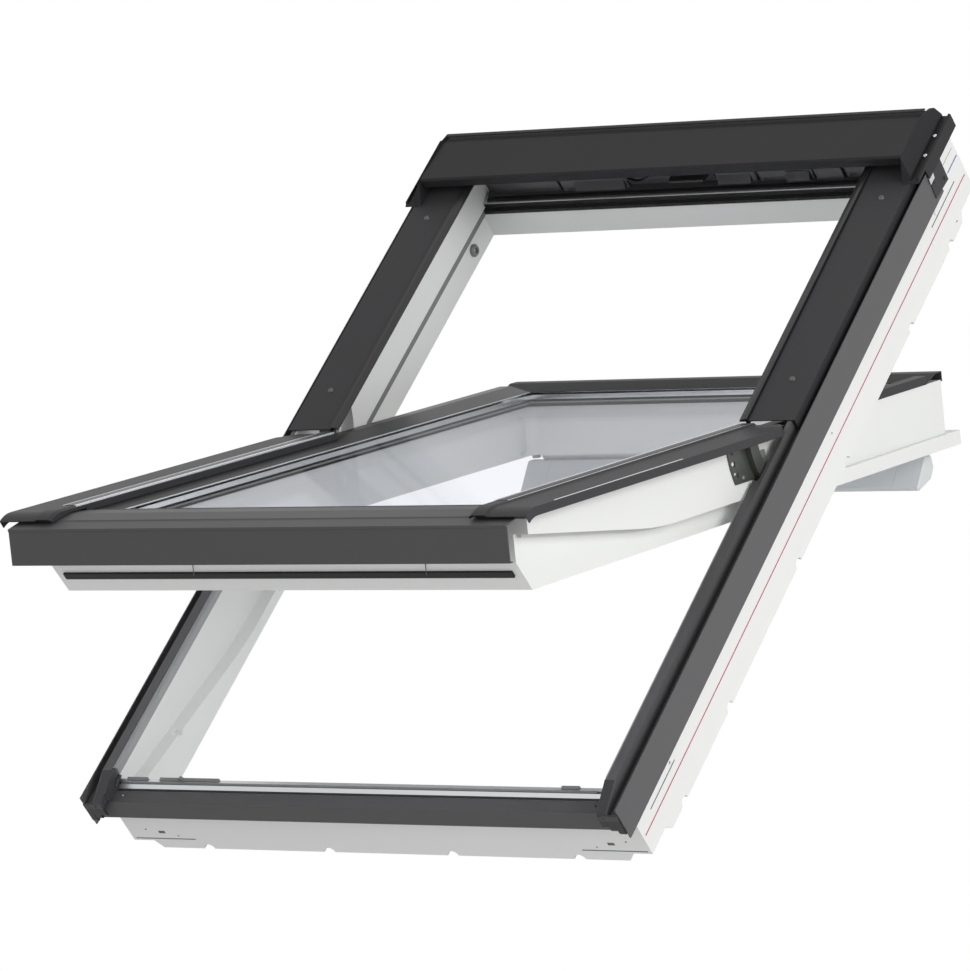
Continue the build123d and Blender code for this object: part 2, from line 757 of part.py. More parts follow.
# Friction hinges: a pocket plate with a curved track on each jamb
def curved_bar(inner, outer, start, stop):
    """Draw a curved bar about the pivot between two radii and two angles."""
    ThreePointArc(on_circle(outer, start), on_circle(outer, (start + stop) / 2),
                  on_circle(outer, stop))
    Line(on_circle(outer, stop), on_circle(inner, stop))
    ThreePointArc(on_circle(inner, stop), on_circle(inner, (start + stop) / 2),
                  on_circle(inner, start))
    Line(on_circle(inner, start), on_circle(outer, start))


with BuildPart() as hinge_frame_plate_right:
    with BuildSketch(along(recess_half + hinge_pocket - hinge_plate)):
        with BuildLine():
            curved_bar(track_inner - track_wall, track_outer + track_wall,
                       track_start, track_end)
        make_face()
    extrude(amount=hinge_plate)
    with BuildSketch(along(recess_half - 1)):
        for inner in (track_inner - track_wall, track_outer):
            with BuildLine():
                curved_bar(inner, inner + track_wall, track_start, track_end)
            make_face()
    extrude(amount=hinge_pocket - hinge_plate + 1)
keep(hinge_frame_plate_right, "hinge_frame_plate_right", "frame")

with BuildPart() as hinge_frame_plate_left:
    mirror(hinge_frame_plate_right.part, about=Plane.YZ)
keep(hinge_frame_plate_left, "hinge_frame_plate_left", "frame")

# Bush that takes the bolt when the sash stands a little open
with BuildPart() as bolt_bush:
    with BuildSketch(along(-lower_half)):
        with Locations((bush_y, bush_z)):
            Circle(bush_outer)
            Circle(bolt_radius + bush_gap, mode=Mode.SUBTRACT)
    extrude(amount=bush_length)
    chamfer(bolt_bush.edges().filter_by(GeomType.CIRCLE).group_by(Axis.X)[-1].sort_by(
        SortBy.LENGTH)[-1], 2)
keep(bolt_bush, "bolt_bush", "frame")


# Sash moulding: glazing rebate, wide shoulders below the pivot, room flange above it
with BuildPart() as sash_frame:
    with BuildSketch(level(room_face)):
        with Locations((0, (sash_low + flange_high) / 2)):
            Rectangle(2 * sash_side, flange_high - sash_low)
    extrude(amount=flange_top - room_face)
    with BuildSketch(level(flange_top)):
        with Locations((0, (sash_low + sash_high) / 2)):
            Rectangle(2 * sash_top_side, sash_high - sash_low)
    extrude(amount=sash_skin - flange_top)
    for side in (-1, 1):
        # shoulder above the crossing-over line
        with BuildSketch(along(side * (sash_top_side - 1))):
            with BuildLine():
                ledge(seal_gap, sash_skin, 1)
            make_face()
        extrude(amount=side * (wide_half - sash_top_side + 1))
        # narrow flank below it
        with BuildSketch(along(side * (sash_top_side - 1))):
            with BuildLine():
                Polyline((sash_low, sash_skin), (sash_low, room_face),
                         (pivot_y, room_face), (pivot_y, sash_skin), close=True)
            make_face()
        extrude(amount=side * (sash_side - sash_top_side + 1))
    # slanted lower edge over the sill
    with BuildSketch(along(-wide_half - 1)):
        outline([(0, sash_skin + 1), (sash_low, sash_skin + 1), (sash_low, slant_high),
                 (slant_low, room_face), (slant_low, room_face - 1), (0, room_face - 1)])
    extrude(amount=2 * wide_half + 2, mode=Mode.SUBTRACT)
    # opening and glazing rebate
    with BuildSketch(level(room_face)):
        with Locations((0, (reveal_low + reveal_high) / 2)):
            RectangleRounded(2 * reveal_half, reveal_high - reveal_low, reveal_radius)
    extrude(amount=sash_skin - room_face, mode=Mode.SUBTRACT)
    with BuildSketch(level(glass_seat)):
        with Locations((0, (glass_low + glass_high) / 2)):
            Rectangle(2 * rebate_half, glass_high - glass_low + 2 * rebate_gap)
    extrude(amount=sash_skin - glass_seat, mode=Mode.SUBTRACT)
    # oblong finger recess beside the bolt
    with BuildSketch(along(-reveal_half - 6)):
        with Locations((reveal_high - reveal_radius - 13, room_face + 30)):
            SlotOverall(52, 24, rotation=90)
    extrude(amount=8, mode=Mode.SUBTRACT)
    # bore for the bolt through the left flange, with a slot for its grip
    with BuildSketch(along(-sash_side - 1)):
        with Locations((bolt_y, bolt_z)):
            Circle(bolt_radius + fit_gap)
    extrude(amount=bolt_length + bolt_travel + 14, mode=Mode.SUBTRACT)
    with BuildSketch(level(room_face)):
        with Locations((-(bolt_grip + bolt_travel / 2), bolt_y)):
            SlotOverall(bolt_travel + 9, 7)
    extrude(amount=bolt_z - room_face, mode=Mode.SUBTRACT)
keep(sash_frame, "sash_frame", "sash")

# Glass unit
with BuildPart() as inner_pane:
    with BuildSketch(level(glass_seat + seal_height)):
        with Locations((0, (glass_low + glass_high) / 2)):
            Rectangle(2 * glass_half, glass_high - glass_low)
    extrude(amount=pane)
keep(inner_pane, "inner_pane", "sash")

with BuildPart() as spacer:
    with BuildSketch(level(glass_seat + seal_height + pane)):
        with Locations((0, (glass_low + glass_high) / 2)):
            Rectangle(2 * glass_half - 4, glass_high - glass_low - 4)
            Rectangle(2 * (glass_half - spacer_width - 2),
                      glass_high - glass_low - 2 * (spacer_width + 2), mode=Mode.SUBTRACT)
    extrude(amount=cavity)
keep(spacer, "spacer", "sash")

with BuildPart() as outer_pane:
    with BuildSketch(level(glass_seat + seal_height + pane + cavity)):
        with Locations((0, (glass_low + glass_high) / 2)):
            Rectangle(2 * glass_half, glass_high - glass_low)
    extrude(amount=pane)
keep(outer_pane, "outer_pane", "sash")

with BuildPart() as inner_glazing_seal:
    with BuildSketch(level(glass_seat)):
        with Locations((0, (glass_low + glass_high) / 2)):
            Rectangle(2 * (reveal_half + 9), glass_high - glass_low - 4)
            Rectangle(2 * (reveal_half + 2), reveal_high - reveal_low + 4, mode=Mode.SUBTRACT)
    extrude(amount=seal_height)
keep(inner_glazing_seal, "inner_glazing_seal", "sash")

# Glazing strips of aluminium along the sides and the top of the sash
strip_top = sash_skin + strip_skirt
with BuildPart() as glazing_strip_right:
    with BuildSketch(across(top_strip_start - sheet)):
        with BuildLine():
            fold([(sash_top_side + sheet, sash_skin), (sash_top_side + sheet, strip_top),
                  (sash_top_side - strip_flat, strip_top), (strip_inner, glass_top + sheet)])
        make_face()
    extrude(amount=top_strip_start - sheet - sash_low - slant_low)
keep(glazing_strip_right, "glazing_strip_right", "sash")

with BuildPart() as glazing_strip_left:
    mirror(glazing_strip_right.part, about=Plane.YZ)
keep(glazing_strip_left, "glazing_strip_left", "sash")

with BuildPart() as glazing_strip_top:
    with BuildSketch(along(-sash_top_side - sheet)):
        with BuildLine():
            fold([(sash_high + sheet, sash_skin - 2), (sash_high + sheet, strip_top),
                  (sash_high - strip_flat, strip_top), (top_strip_start, glass_top + sheet)])
        make_face()
    extrude(amount=2 * (sash_top_side + sheet))
keep(glazing_strip_top, "glazing_strip_top", "sash")

# Dark pads that close the gap between the covers over the pivots
for side, hand in ((1, "right"), (-1, "left")):
    with BuildPart() as pivot_pad:
        with BuildSketch(level(sash_skin)):
            with Locations((side * (sash_top_side + 2 * sheet + wide_half) / 2, (pad_low + pad_high) / 2)):
                Rectangle(wide_half - sash_top_side - 2 * sheet, pad_high - pad_low)
        extrude(amount=pad_top - sash_skin)
    keep(pivot_pad, f"pivot_pad_{hand}", "sash")

# Bottom cover of the sash
with BuildPart() as sash_bottom_cover:
    with BuildSketch(along(-bottom_half)):
        with BuildLine():
            fold([(-bottom_front + 6, bottom_low), (-bottom_front, bottom_low),
                  (-bottom_front, bottom_high), (-bottom_front - 1, bottom_high + 0.5),
                  (-bottom_front - 1, bottom_high + bottom_lip),
                  (-2, bottom_high + bottom_lip + 5), (0, bottom_high + bottom_lip + 6.5),
                  (bottom_rear, bottom_peak), (slant_low + 6, bottom_peak - 1)],
                 side=Side.RIGHT)
        make_face()
    extrude(amount=2 * bottom_half)
    # rear corners cleared for the strips in the frame's rebates
    with BuildSketch(level(bottom_high + bottom_lip)):
        for side in (-1, 1):
            with Locations((side * bottom_half, bottom_rear + slant_low)):
                Rectangle(2 * bottom_clear, 2 * (slant_low + bottom_rear - upstand_depth + 2))
    extrude(amount=bottom_peak - bottom_high, mode=Mode.SUBTRACT)
keep(sash_bottom_cover, "sash_bottom_cover", "sash")

with BuildPart() as bottom_bead:
    with BuildSketch(along(-(strip_inner - fit_gap))):
        outline([(slant_low + 7, glass_top), (slant_low + 7, bottom_peak - 1),
                 (slant_low + 12, bottom_peak - 1), (reveal_low + 13, glass_top + 1.5),
                 (reveal_low + 13, glass_top)])
    extrude(amount=2 * (strip_inner - fit_gap))
keep(bottom_bead, "bottom_bead", "sash")

# Lower side covers: folded section swept along the side, drooping at the low end
with BuildPart() as sash_side_cover_right:
    with BuildLine() as side_path:
        straight = Line((cover_outer, pivot_y + side_end, cover_top),
                        (cover_outer, side_start, cover_top))
        bend_radius = side_bend / sin(radians(side_bend_angle))
        with BuildLine(Plane.YZ.offset(cover_outer)):
            CenterArc((side_start, cover_top - bend_radius), bend_radius, 90, side_bend_angle)
    with BuildSketch(across(pivot_y + side_end)):
        with BuildLine():
            fold([(cover_outer, cover_top - cover_lip), (cover_outer, cover_top),
                  (cover_outer - side_flat, cover_top),
                  (cover_outer - side_flat - 3, cover_top + side_ridge),
                  (cover_inner + 5, cover_top + side_ridge), (cover_inner, cover_top),
                  (cover_inner, cover_top - side_inner_drop)])
        make_face()
    sweep(path=side_path.line)
    # inner fold cut away over the bottom cover
    with BuildSketch(along(cover_inner - 1)):
        outline([(-gutter_tail, bottom_low), (-gutter_tail, bottom_high + bottom_lip + 3),
                 (-2, bottom_high + bottom_lip + 7), (bottom_rear, bottom_peak + 1.5),
                 (slant_low + 8, bottom_peak + 1.5), (slant_low + 8, bottom_low)])
    extrude(amount=1 + 2 * sheet, mode=Mode.SUBTRACT)
    with BuildSketch(level(cover_top - 2 * cover_lip)):
        outline([(cover_outer + 1, pivot_y + side_end + 1),
                 (cover_outer - 0.8 * side_corner, pivot_y + side_end + 1),
                 (cover_outer + 1, pivot_y + side_end - 1.2 * side_corner)])
    extrude(amount=3 * cover_lip, mode=Mode.SUBTRACT)
keep(sash_side_cover_right, "sash_side_cover_right", "sash")

with BuildPart() as sash_side_cover_left:
    mirror(sash_side_cover_right.part, about=Plane.YZ)
keep(sash_side_cover_left, "sash_side_cover_left", "sash")

# Side seals under the shoulders of the sash, following the ledge line
with BuildPart() as side_seal_right:
    with BuildSketch(along(sash_side + fit_gap)):
        with BuildLine():
            ledge(seal_rest, seal_stop, 1)
        make_face()
        with BuildLine():
            ledge(seal_gap - fit_gap / 2, seal_stop, 1)
        make_face(mode=Mode.SUBTRACT)
        with Locations((upstand_depth, ledge_start)):
            Rectangle(4 * seal_gap, 4 * seal_gap, mode=Mode.SUBTRACT)
    extrude(amount=seal_width)
keep(side_seal_right, "side_seal_right", "sash")

with BuildPart() as side_seal_left:
    mirror(side_seal_right.part, about=Plane.YZ)
keep(side_seal_left, "side_seal_left", "sash")

# Seal along the slanted lower edge
slant = atan2(slant_high - room_face, slant_low - sash_low)
with BuildPart() as bottom_seal:
    with BuildSketch(along(-(sash_side - 12))):
        base_y = sash_low + (slant_low - sash_low) * 0.28
        base_z = slant_high - (slant_high - room_face) * 0.28
        run_y = (slant_low - sash_low) * 0.2
        run_z = (slant_high - room_face) * 0.2
        out_y = 3.2 * sin(slant)
        out_z = 3.2 * cos(slant)
        outline([(base_y, base_z), (base_y + run_y, base_z - run_z),
                 (base_y + run_y - out_y, base_z - run_z - out_z),
                 (base_y - out_y, base_z - out_z)])
    extrude(amount=2 * (sash_side - 12))
keep(bottom_seal, "bottom_seal", "sash")

# Sash half of the friction hinge: tail plate with the curved rib that rides the track
with BuildPart() as hinge_sash_plate_right:
    with BuildSketch(along(wide_half)):
        with BuildLine():
            curved_bar(track_inner - 3 * track_wall, tail_radius, tail_start, tail_end)
        make_face()
        outline([on_circle(tail_radius, tail_end), (pivot_y - track_inner, tail_low),
                 on_circle(track_inner, tail_end + 5), on_circle(track_inner, tail_end)])
        with BuildLine():
            curved_bar(track_inner - 3 * track_wall, track_outer + track_wall,
                       track_start, track_end)
        make_face()
    extrude(amount=hinge_plate)
    with BuildSketch(along(wide_half + hinge_plate)):
        with BuildLine():
            curved_bar(track_inner + track_play, track_outer - track_play,
                       track_start, track_end)
        make_face()
    extrude(amount=run_gap + hinge_pocket - 2 * hinge_plate - fit_gap)
    with BuildSketch(along(wide_half + hinge_plate)):
        with Locations(*[on_circle(tail_radius - 12, angle) for angle in (189, 197, 205)]):
            Circle(rivet_radius)
    extrude(amount=rivet_height)
keep(hinge_sash_plate_right, "hinge_sash_plate_right", "sash")

with BuildPart() as hinge_sash_plate_left:
    mirror(hinge_sash_plate_right.part, about=Plane.YZ)
keep(hinge_sash_plate_left, "hinge_sash_plate_left", "sash")

# Lock case on the top rail that carries the latch hook
with BuildPart() as lock_case:
    with BuildSketch(along(-4 * latch_half)):
        outline([(sash_high, flange_top), (sash_high, latch_z + 22), (sash_high + 3, latch_z + 22),
                 (sash_high + 3, flange_top + 2), (flange_high - 4, flange_top + 2),
                 (flange_high - 4, flange_top)])
    extrude(amount=8 * latch_half)
    with BuildSketch(along(-latch_half - 4)):
        with Locations((latch_axis, latch_z)):
            Circle(6)
        with Locations(((sash_high + latch_axis) / 2, latch_z)):
            Rectangle(latch_axis - sash_high, 12)
    extrude(amount=3)
    with BuildSketch(along(latch_half + 1)):
        with Locations((latch_axis, latch_z)):
            Circle(6)
        with Locations(((sash_high + latch_axis) / 2, latch_z)):
            Rectangle(latch_axis - sash_high, 12)
    extrude(amount=3)
    with BuildSketch(along(-latch_half - 5)):
        with Locations((latch_axis, latch_z)):
            Circle(latch_pin - 1)
    extrude(amount=2 * latch_half + 10, mode=Mode.SUBTRACT)
keep(lock_case, "lock_case", "sash")

# Latch hook, turned by the control bar
with BuildPart() as latch_hook:
    with BuildSketch(along(-latch_half)):
        with Locations((latch_axis, latch_z)):
            Circle(4.5)
        outline([(sash_high + 6, latch_z - 4), (sash_high + latch_reach, latch_z + 1),
                 (sash_high + latch_reach, latch_z + 7), (sash_high + latch_reach - 5, latch_z + 7),
                 (sash_high + latch_reach - 5, latch_z + 5), (sash_high + 6, latch_z + 4)])
    extrude(amount=2 * latch_half)
    with BuildSketch(along(-latch_half - 4)):
        with Locations((latch_axis, latch_z)):
            Circle(latch_pin - 1.4)
    extrude(amount=2 * latch_half + 8)
keep(latch_hook, "latch_hook", "latch")

# Ventilation flap on the room side of the top rail
with BuildPart() as ventilation_flap:
    with BuildSketch(along(-flap_half)):
        outline([(flap_low, room_face - fit_gap), (flap_axis_y, room_face - fit_gap),
                 (flap_axis_y, room_face - flap_thick), (flap_low + 6, room_face - flap_thick),
                 (flap_low, room_face - 3)])
        with Locations((flap_axis_y, flap_axis_z)):
            Circle(flap_barrel)
    extrude(amount=2 * flap_half)
keep(ventilation_flap, "ventilation_flap", "flap")

# Control bar under the flap
with BuildPart() as control_bar:
    with BuildSketch(along(-bar_half)) as bar_sketch:
        outline(bar_section)
        fillet(bar_sketch.vertices(), bar_round)
    extrude(amount=2 * bar_half)
keep(control_bar, "control_bar", "flap")

for side, hand in ((1, "right"), (-1, "left")):
    with BuildPart() as bar_end:
        with BuildSketch(along(side * (bar_half + fit_gap))) as end_sketch:
            outline(bar_section)
            fillet(end_sketch.vertices(), bar_round)
        extrude(amount=side * (bar_cap - fit_gap))
        chamfer(bar_end.faces().sort_by(Axis.X)[-1 if side > 0 else 0].edges(), bar_round / 2)
    keep(bar_end, f"bar_end_{hand}", "flap")

# Barrel bolt in the left flange
with BuildPart() as barrel_bolt:
    with BuildSketch(along(-bolt_tip)):
        with Locations((bolt_y, bolt_z)):
            Circle(bolt_radius)
    extrude(amount=bolt_length)
    chamfer(barrel_bolt.edges().filter_by(GeomType.CIRCLE).sort_by(Axis.X)[0], 1.2)
    with BuildSketch(level(bolt_z)):
        with Locations((-bolt_grip, bolt_y)):
            Circle(2.5)
    extrude(amount=-(bolt_z - room_face + 6))
    with BuildSketch(level(room_face - 0.5)):
        with Locations((-bolt_grip, bolt_y)):
            Circle(6)
    extrude(amount=-5.5)
keep(barrel_bolt, "barrel_bolt", "bolt")


# Pose and tilt: the sash turns about the pivot, then the window lies in the roof
on_roof = Location((0, 0, 0), (roof_pitch, 0, 0)) * Location((0, 0, -line_level))
swung = (Location((0, pivot_y, pivot_z)) * Location((0, 0, 0), (-open_angle, 0, 0))
         * Location((0, -pivot_y, -pivot_z)))

os.makedirs("parts", exist_ok=True)
for builder, name, place in pieces:
    where = on_roof if place == "frame" else on_roof * swung
    placed = builder.part.moved(where)
    placed.label = name
    export_step(placed, f"parts/{name}.step")
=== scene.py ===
"""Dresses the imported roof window: finishes, small fittings, light and camera."""

import json
import logging
import math
from contextlib import contextmanager
from dataclasses import dataclass
from enum import Enum
from typing import Callable, Iterable, Iterator, NamedTuple, Optional, Sequence

import bpy
from mathutils import Matrix, Vector


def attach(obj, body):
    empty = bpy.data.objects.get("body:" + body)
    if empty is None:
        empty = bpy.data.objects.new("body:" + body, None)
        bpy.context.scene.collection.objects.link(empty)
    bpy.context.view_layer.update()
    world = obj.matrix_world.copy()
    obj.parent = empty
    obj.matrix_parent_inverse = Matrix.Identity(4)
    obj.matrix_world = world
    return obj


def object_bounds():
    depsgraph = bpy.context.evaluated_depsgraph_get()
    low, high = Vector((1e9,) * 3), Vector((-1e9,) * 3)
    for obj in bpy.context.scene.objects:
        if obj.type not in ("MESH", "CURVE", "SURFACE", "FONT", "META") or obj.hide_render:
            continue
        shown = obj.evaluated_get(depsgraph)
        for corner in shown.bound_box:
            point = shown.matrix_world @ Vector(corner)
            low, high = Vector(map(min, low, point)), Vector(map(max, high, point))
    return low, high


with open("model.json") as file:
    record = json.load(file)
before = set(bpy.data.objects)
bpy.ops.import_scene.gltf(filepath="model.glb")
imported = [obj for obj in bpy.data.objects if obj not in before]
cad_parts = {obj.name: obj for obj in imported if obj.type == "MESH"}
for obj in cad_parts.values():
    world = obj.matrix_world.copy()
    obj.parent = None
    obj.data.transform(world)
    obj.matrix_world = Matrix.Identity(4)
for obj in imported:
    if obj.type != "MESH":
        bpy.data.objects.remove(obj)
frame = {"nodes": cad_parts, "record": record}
cad_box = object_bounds()

log = logging.getLogger("roof_window")

MM = 0.001
Point = Sequence[float]
SIDES = ((1, "right"), (-1, "left"))


class Place(Enum):
    """Drawing frame that a piece is modelled in."""

    FRAME = "frame"
    SASH = "sash"


@dataclass(frozen=True)
class Drawing:
    """Sizes shared with the solids, in millimetres and degrees."""

    half_width: float = 390.0
    length: float = 1178.0
    line_level: float = 27.6
    pivot_y: float = 612.8
    pivot_z: float = 121.5
    roof_pitch: float = 45.0
    open_angle: float = 36.0

    def place(self, where: Place) -> Matrix:
        """Matrix from the flat window, in metres, to the frame shared with the solids.

        Args:
            where: drawing frame of the piece; the sash's is turned about the pivot.

        Returns:
            The placing matrix.
        """
        tilt = Matrix.Rotation(math.radians(self.roof_pitch), 4, "X")
        drop = Matrix.Translation((0, 0, -self.line_level * MM))
        if where is Place.FRAME:
            return tilt @ drop
        pivot = Vector((0, self.pivot_y * MM, self.pivot_z * MM))
        swing = (Matrix.Translation(pivot)
                 @ Matrix.Rotation(math.radians(-self.open_angle), 4, "X")
                 @ Matrix.Translation(-pivot))
        return tilt @ drop @ swing


DRAWING = Drawing()


def span(side: int, inner: float, outer: float) -> list[float]:
    """Lower and higher x of a stretch on one side of the window."""
    return sorted((side * inner, side * outer))


def mirrored(side: int, point: Point) -> tuple:
    """A point given for the right-hand side, or its mirror image for side -1."""
    return side * point[0], point[1], point[2]


def oblong(low: Point, high: Point) -> tuple:
    """Outline of a rectangular section between two (y, z) corners."""
    return (low[0], low[1]), (low[0], high[1]), (high[0], high[1]), (high[0], low[1])


# ---- shader building ----

VALUE_SOCKET = "NodeSocketFloat"
MIX_FACTOR, MIX_FIRST, MIX_SECOND, MIX_RESULT = 0, 6, 7, 2
WHITE = (1.0, 1.0, 1.0, 1.0)


class Graph:
    """Small helper around one node tree."""

    def __init__(self, tree: bpy.types.NodeTree) -> None:
        """Start from an empty tree.

        Args:
            tree: the node tree to fill.
        """
        self.tree = tree
        tree.nodes.clear()

    def add(self, kind: str, **values: object) -> bpy.types.Node:
        """Add a node and set its properties or input values.

        Args:
            kind: node type name.
            values: attributes of the node, or in_NAME for a socket value.

        Returns:
            The new node.
        """
        node = self.tree.nodes.new(kind)
        for name, value in values.items():
            if name.startswith("in_"):
                node.inputs[name[3:].replace("_", " ")].default_value = value
            else:
                setattr(node, name, value)
        return node

    def link(self, source: bpy.types.NodeSocket, target: bpy.types.NodeSocket) -> None:
        """Join two sockets."""
        self.tree.links.new(source, target)

    def split_rays(self, lit: bpy.types.Node, seen: bpy.types.Node,
                   target: bpy.types.NodeSocket) -> None:
        """Show one shader to the eye and let the other light the scene.

        Args:
            lit: shader for diffuse and shadow rays.
            seen: shader for camera, transmission and glossy rays.
            target: socket that takes the mix.
        """
        path = self.add("ShaderNodeLightPath")
        direct = self.add("ShaderNodeMath", operation="MAXIMUM")
        either = self.add("ShaderNodeMath", operation="MAXIMUM")
        mix = self.add("ShaderNodeMixShader")
        self.link(path.outputs["Is Camera Ray"], direct.inputs[0])
        self.link(path.outputs["Is Transmission Ray"], direct.inputs[1])
        self.link(direct.outputs[0], either.inputs[0])
        self.link(path.outputs["Is Glossy Ray"], either.inputs[1])
        self.link(either.outputs[0], mix.inputs[0])
        self.link(lit.outputs[0], mix.inputs[1])
        self.link(seen.outputs[0], mix.inputs[2])
        self.link(mix.outputs[0], target)


def new_group(name: str, inputs: dict[str, float], outputs: Iterable[str]) -> Graph:
    """Make an empty shader node group with named value sockets.

    Args:
        name: name of the group.
        inputs: name of each input and its default.
        outputs: name of each output.

    Returns:
        The graph of the new group.
    """
    tree = bpy.data.node_groups.new(name, "ShaderNodeTree")
    for label, default in inputs.items():
        socket = tree.interface.new_socket(label, in_out="INPUT", socket_type=VALUE_SOCKET)
        socket.default_value = default
    for label in outputs:
        tree.interface.new_socket(label, in_out="OUTPUT", socket_type=VALUE_SOCKET)
    return Graph(tree)


def make_skin_group() -> bpy.types.NodeTree:
    """Fine grain with a slow mottling, for moulded and coated surfaces.

    Returns:
        The group: Height for a bump, Tone and Gloss that vary over the surface.
    """
    graph = new_group(
        "surface_skin",
        {"Grain Scale": 900.0, "Mottle Scale": 9.0, "Tone Low": 0.96, "Gloss Base": 0.4,
         "Gloss Swing": 0.08},
        ("Height", "Tone", "Gloss"))
    source = graph.add("NodeGroupInput")
    sink = graph.add("NodeGroupOutput")
    coord = graph.add("ShaderNodeTexCoord")
    grain = graph.add("ShaderNodeTexNoise", in_Detail=3.0, in_Roughness=0.6)
    mottle = graph.add("ShaderNodeTexNoise", in_Detail=4.0, in_Roughness=0.55)
    tone = graph.add("ShaderNodeMapRange")
    gloss = graph.add("ShaderNodeMath", operation="MULTIPLY_ADD")
    for start, end in (
            (coord.outputs["Object"], grain.inputs["Vector"]),
            (coord.outputs["Object"], mottle.inputs["Vector"]),
            (source.outputs["Grain Scale"], grain.inputs["Scale"]),
            (source.outputs["Mottle Scale"], mottle.inputs["Scale"]),
            (mottle.outputs["Fac"], tone.inputs["Value"]),
            (source.outputs["Tone Low"], tone.inputs["To Min"]),
            (mottle.outputs["Fac"], gloss.inputs[0]),
            (source.outputs["Gloss Swing"], gloss.inputs[1]),
            (source.outputs["Gloss Base"], gloss.inputs[2]),
            (grain.outputs["Fac"], sink.inputs["Height"]),
            (tone.outputs["Result"], sink.inputs["Tone"]),
            (gloss.outputs["Value"], sink.inputs["Gloss"])):
        graph.link(start, end)
    return graph.tree


@dataclass(frozen=True)
class Finish:
    """One surface finish, with the skin group's values."""

    name: str
    color: tuple
    roughness: float = 0.45
    metallic: float = 0.0
    grain_scale: float = 900.0
    grain_depth: float = 0.02
    mottle_scale: float = 9.0
    tone_low: float = 0.95
    gloss_swing: float = 0.08
    specular: float = 0.5
    bump_strength: float = 0.35

    def material(self, skin: bpy.types.NodeTree) -> bpy.types.Material:
        """Build the material.

        Args:
            skin: the shared skin group.

        Returns:
            A node material.
        """
        made = bpy.data.materials.new(self.name)
        made.use_nodes = True
        graph = Graph(made.node_tree)
        out = graph.add("ShaderNodeOutputMaterial")
        shader = graph.add("ShaderNodeBsdfPrincipled", in_Metallic=self.metallic,
                           in_Specular_IOR_Level=self.specular)
        group = graph.add("ShaderNodeGroup", node_tree=skin, in_Grain_Scale=self.grain_scale,
                          in_Mottle_Scale=self.mottle_scale, in_Tone_Low=self.tone_low,
                          in_Gloss_Base=self.roughness - self.gloss_swing / 2,
                          in_Gloss_Swing=self.gloss_swing)
        tint = graph.add("ShaderNodeMix", data_type="RGBA", blend_type="MULTIPLY")
        tint.inputs[MIX_FACTOR].default_value = 1.0
        tint.inputs[MIX_FIRST].default_value = (*self.color, 1.0)
        bump = graph.add("ShaderNodeBump", in_Strength=self.bump_strength,
                         in_Distance=self.grain_depth * MM)
        graph.link(group.outputs["Tone"], tint.inputs[MIX_SECOND])
        graph.link(tint.outputs[MIX_RESULT], shader.inputs["Base Color"])
        graph.link(group.outputs["Gloss"], shader.inputs["Roughness"])
        graph.link(group.outputs["Height"], bump.inputs["Height"])
        graph.link(bump.outputs["Normal"], shader.inputs["Normal"])
        graph.link(shader.outputs["BSDF"], out.inputs["Surface"])
        return made


@dataclass(frozen=True)
class GlassFinish:
    """Clear float glass with a faint tint.

    The index is far below that of real glass: the photo shows hardly any reflection.
    """

    name: str
    tint: tuple = (0.955, 0.962, 0.985)
    index: float = 1.012
    wave_scale: float = 3.0
    wave_strength: float = 0.01
    wave_depth: float = 0.02

    def material(self) -> bpy.types.Material:
        """Build the material.

        Returns:
            A glass material with faint waves in its surface.
        """
        made = bpy.data.materials.new(self.name)
        made.use_nodes = True
        graph = Graph(made.node_tree)
        out = graph.add("ShaderNodeOutputMaterial")
        shader = graph.add("ShaderNodeBsdfPrincipled", in_Base_Color=(*self.tint, 1.0),
                           in_Transmission_Weight=1.0, in_Roughness=0.0, in_IOR=self.index)
        coord = graph.add("ShaderNodeTexCoord")
        wave = graph.add("ShaderNodeTexNoise", in_Scale=self.wave_scale, in_Detail=1.0)
        bump = graph.add("ShaderNodeBump", in_Strength=self.wave_strength,
                         in_Distance=self.wave_depth * MM)
        graph.link(coord.outputs["Object"], wave.inputs["Vector"])
        graph.link(wave.outputs["Fac"], bump.inputs["Height"])
        graph.link(bump.outputs["Normal"], shader.inputs["Normal"])
        graph.link(shader.outputs["BSDF"], out.inputs["Surface"])
        return made


